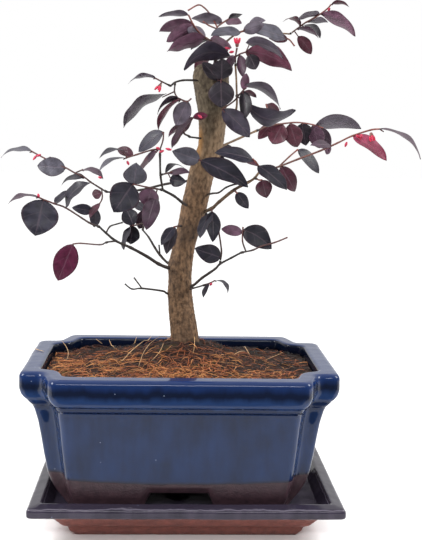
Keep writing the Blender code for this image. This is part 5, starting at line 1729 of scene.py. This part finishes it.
@dataclass
class FlowerBuds:
    """Opening flower buds and the small crimson buds at the twigs' nodes."""

    cup: str = "#7a4b46"
    petal: str = "#d2234a"
    shut: str = "#b8294a"
    # The cup's stations from the seat, its radii, a petal's start from the seat, and radii
    cup_stations: tuple[float, ...] = (0.5, 2.2, 3.6)
    cup_radii: tuple[float, ...] = (0.8, 1.3, 0.9)
    petal_start: float = 2.4
    petal_radii: tuple[float, ...] = (0.6, 0.85, 0.5)
    shut_radii: tuple[float, ...] = (0.45, 0.9, 0.35)
    # Where a petal bends, as a share of the length, and how far out it is there and at its
    # tip, where every second one is further out by the last number
    petal_bend: float = 0.6
    petal_out: tuple[float, float, float] = (1.2, 1.6, 0.5)
    # Small closed buds: pick of the seat, then how far the tip is across and down in pixels
    closed: tuple[tuple[float, ...], ...] = (
        (170, 96.5, -18, -1, 4), (171.5, 150, -21, -6, -1.5), (164, 150.5, -21.5, -5, 2),
        (160, 149, -22, -4, -1.5), (41, 154.5, 47, -5, 2), (37, 155, 47, -4, 5), (39, 197.5, -42, -1, -4),
        (102, 178, 35, -4, -1), (127, 161, -32, 2, 4), (330, 8, 24, -2, 3), (347, 142, -44, -2, 5),
        (361.5, 134, -50, -1, 6), (212, 283, -8, -2, 2.5), (230, 49, -9, -5, -1.5), (234, 51.5, -10, -5, 1),
        (202, 118, -20, -4, -3), (356, 135, -49, 4, 3),
    )

    def strap(self, points: Array, radii: Array, shade: str) -> Patch:
        """Smooth tapering tube through a few points."""
        rows = smooth_line(np.column_stack([points, radii]), 9)
        return grid(tube(rows[:, :3], np.maximum(rows[:, 3], 0.1 * MM), 8), linear(shade))

    def build_bud(self, name: str, bud: Bud, finish: bpy.types.Material) -> None:
        """Build one opening bud: a cup, and petals that part towards its tip.

        Args:
            name: its node's name.
            bud: its picks.
            finish: the petal finish.
        """
        seat, tip = SIGHT.place(np.array((bud.seat, bud.tip)))
        along, length = unit(tip - seat), float(np.linalg.norm(tip - seat))
        cup = seat + along * np.array(self.cup_stations)[:, None] * MM
        patches = [self.strap(cup, np.array(self.cup_radii) * MM, self.cup)]
        bend_out, tip_out, further = self.petal_out
        turn = Vector(along).to_track_quat("Z", "Y")
        for i in range(bud.petals):
            angle = 2 * math.pi * (i + 0.25) / bud.petals
            out = np.array(turn @ Vector((math.cos(angle), math.sin(angle), 0.0)))
            path = np.array([seat + along * self.petal_start * MM,
                             seat + along * length * self.petal_bend + out * bend_out * MM,
                             seat + along * length + out * (tip_out + further * (i % 2)) * MM])
            patches.append(self.strap(path, np.array(self.petal_radii) * MM, self.petal))
        put_mesh("open_" + name, patches, [finish], name)

    def build(self) -> None:
        """Build the opening buds, and the closed ones as one piece."""
        finish = TintedGrowth("silk_petal", roughness=0.5, mottle=0.25, scale=500.0, relief=0.1 * MM).build()
        for name, bud in BUDS.items():
            self.build_bud(name, bud, finish)
        patches = []
        for across, down, depth, run, fall in self.closed:
            picks = [(across + run * s, down + fall * s, depth) for s in (0.0, 0.5, 1.0)]
            radii = np.array(self.shut_radii) * MM
            patches.append(self.strap(SIGHT.place(np.array(picks)), radii, self.shut))
        put_mesh("closed_buds", patches, [finish])


@dataclass
class Softbox:
    """One rectangular studio lamp."""

    name: str
    place: tuple[float, float, float]
    target: tuple[float, float, float]
    size: tuple[float, float]
    power: float

    def build(self) -> None:
        """Build the lamp, turned to its target."""
        data = bpy.data.lights.new(self.name, "AREA")
        data.shape = "RECTANGLE"
        data.size, data.size_y = self.size
        data.energy = self.power
        lamp = bpy.data.objects.new(self.name, data)
        lamp.location = self.place
        lamp.rotation_euler = (Vector(self.target) - Vector(self.place)).to_track_quat("-Z", "Y").to_euler()
        bpy.context.scene.collection.objects.link(lamp)


@dataclass
class Studio:
    """White surroundings, a plain pale floor and soft lamps that also brighten the floor."""

    floor_half: float = 6.0
    floor_front: float = -0.26
    lamps: tuple[Softbox, ...] = (
        Softbox("lamp_left", (-0.62, -0.22, 0.55), (-0.42, -0.10, 0.0), (0.26, 0.34), 6.0),
        Softbox("lamp_right", (0.62, -0.12, 0.55), (0.42, -0.05, 0.0), (0.26, 0.34), 5.0),
        Softbox("lamp_front", (0.0, -0.66, 0.42), (0.0, -0.12, 0.0), (0.5, 0.06), 1.9),
    )

    def build_floor(self) -> None:
        """Build the floor, a flat sheet just under the tray."""
        half, front = self.floor_half, self.floor_front
        mesh = bpy.data.meshes.new("floor")
        corners = [(x, y, -0.2 * MM) for x, y in ((-half, front), (half, front), (half, half), (-half, half))]
        mesh.from_pydata(corners, [], [(0, 1, 2, 3)])
        # Matt white paint with the roller's stipple, 3 mm across
        paint, tree, place = new_material("matt_white_paint")
        dull, white = linear("#f7f7f7"), linear("#fbfbfb")
        stipple = add_node(tree, "TexNoise", {"Vector": place, "Scale": 330.0, "Detail": 2.0})
        colour = add_node(tree, "Mix", {SHARE: stipple, FIRST: dull, SECOND: white}, **COLOURS)
        feed(tree.nodes[SHADER], {"Base Color": colour, "Roughness": 0.9, "Specular IOR Level": 0.1})
        mesh.materials.append(paint)
        floor = bpy.data.objects.new("floor", mesh)
        bpy.context.scene.collection.objects.link(floor)

    def build_surroundings(self) -> None:
        """Light the scene from white surroundings, brighter overhead and dim behind the viewer."""
        world = bpy.data.worlds.new("white_studio")
        world.use_nodes = True
        tree = world.node_tree
        tree.nodes.clear()
        way = add_node(tree, "TexCoord", out="Generated")
        deep, high = (add_node(tree, "SeparateXYZ", {0: way}, axis) for axis in "YZ")
        dim = add_node(tree, "MapRange", {"Value": deep, "From Min": -0.9, "From Max": 0.1,
                                          "To Min": 0.22, "To Max": 0.9})
        above = add_node(tree, "MapRange", {"Value": high, "From Min": 0.3, "From Max": 0.9, "To Max": 0.7})
        dim = add_node(tree, "Math", {0: dim, 1: above}, operation="ADD")
        seen, light = (add_node(tree, "Background", {"Color": (1.0, 1.0, 1.0, 1.0), "Strength": strength})
                       for strength in (1.0, dim))
        straight = add_node(tree, "LightPath", out="Is Camera Ray")
        both = add_node(tree, "MixShader", {0: straight, 1: light, 2: seen})
        feed(tree.nodes.new("ShaderNodeOutputWorld"), {"Surface": both})
        bpy.context.scene.world = world

    def build(self) -> None:
        """Build the floor, the surroundings and the lamps."""
        self.build_floor()
        self.build_surroundings()
        for lamp in self.lamps:
            lamp.build()
        bpy.context.scene.view_settings.view_transform = "Standard"


def main() -> None:
    logging.basicConfig(level=logging.INFO, format="%(name)s: %(message)s")
    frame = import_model()
    SIGHT.put_camera()
    Studio().build()
    DripTray().build()
    pot = GlazedPot()
    pot.build()
    frame["nodes"]["drain_mesh"].data.materials.clear()
    frame["nodes"]["drain_mesh"].data.materials.append(BlackMesh().build())
    soil = Compost(pot)
    soil.build()
    Wood(soil).build()
    Foliage().build()
    FlowerBuds().build()


if __name__ == "__main__":
    main()
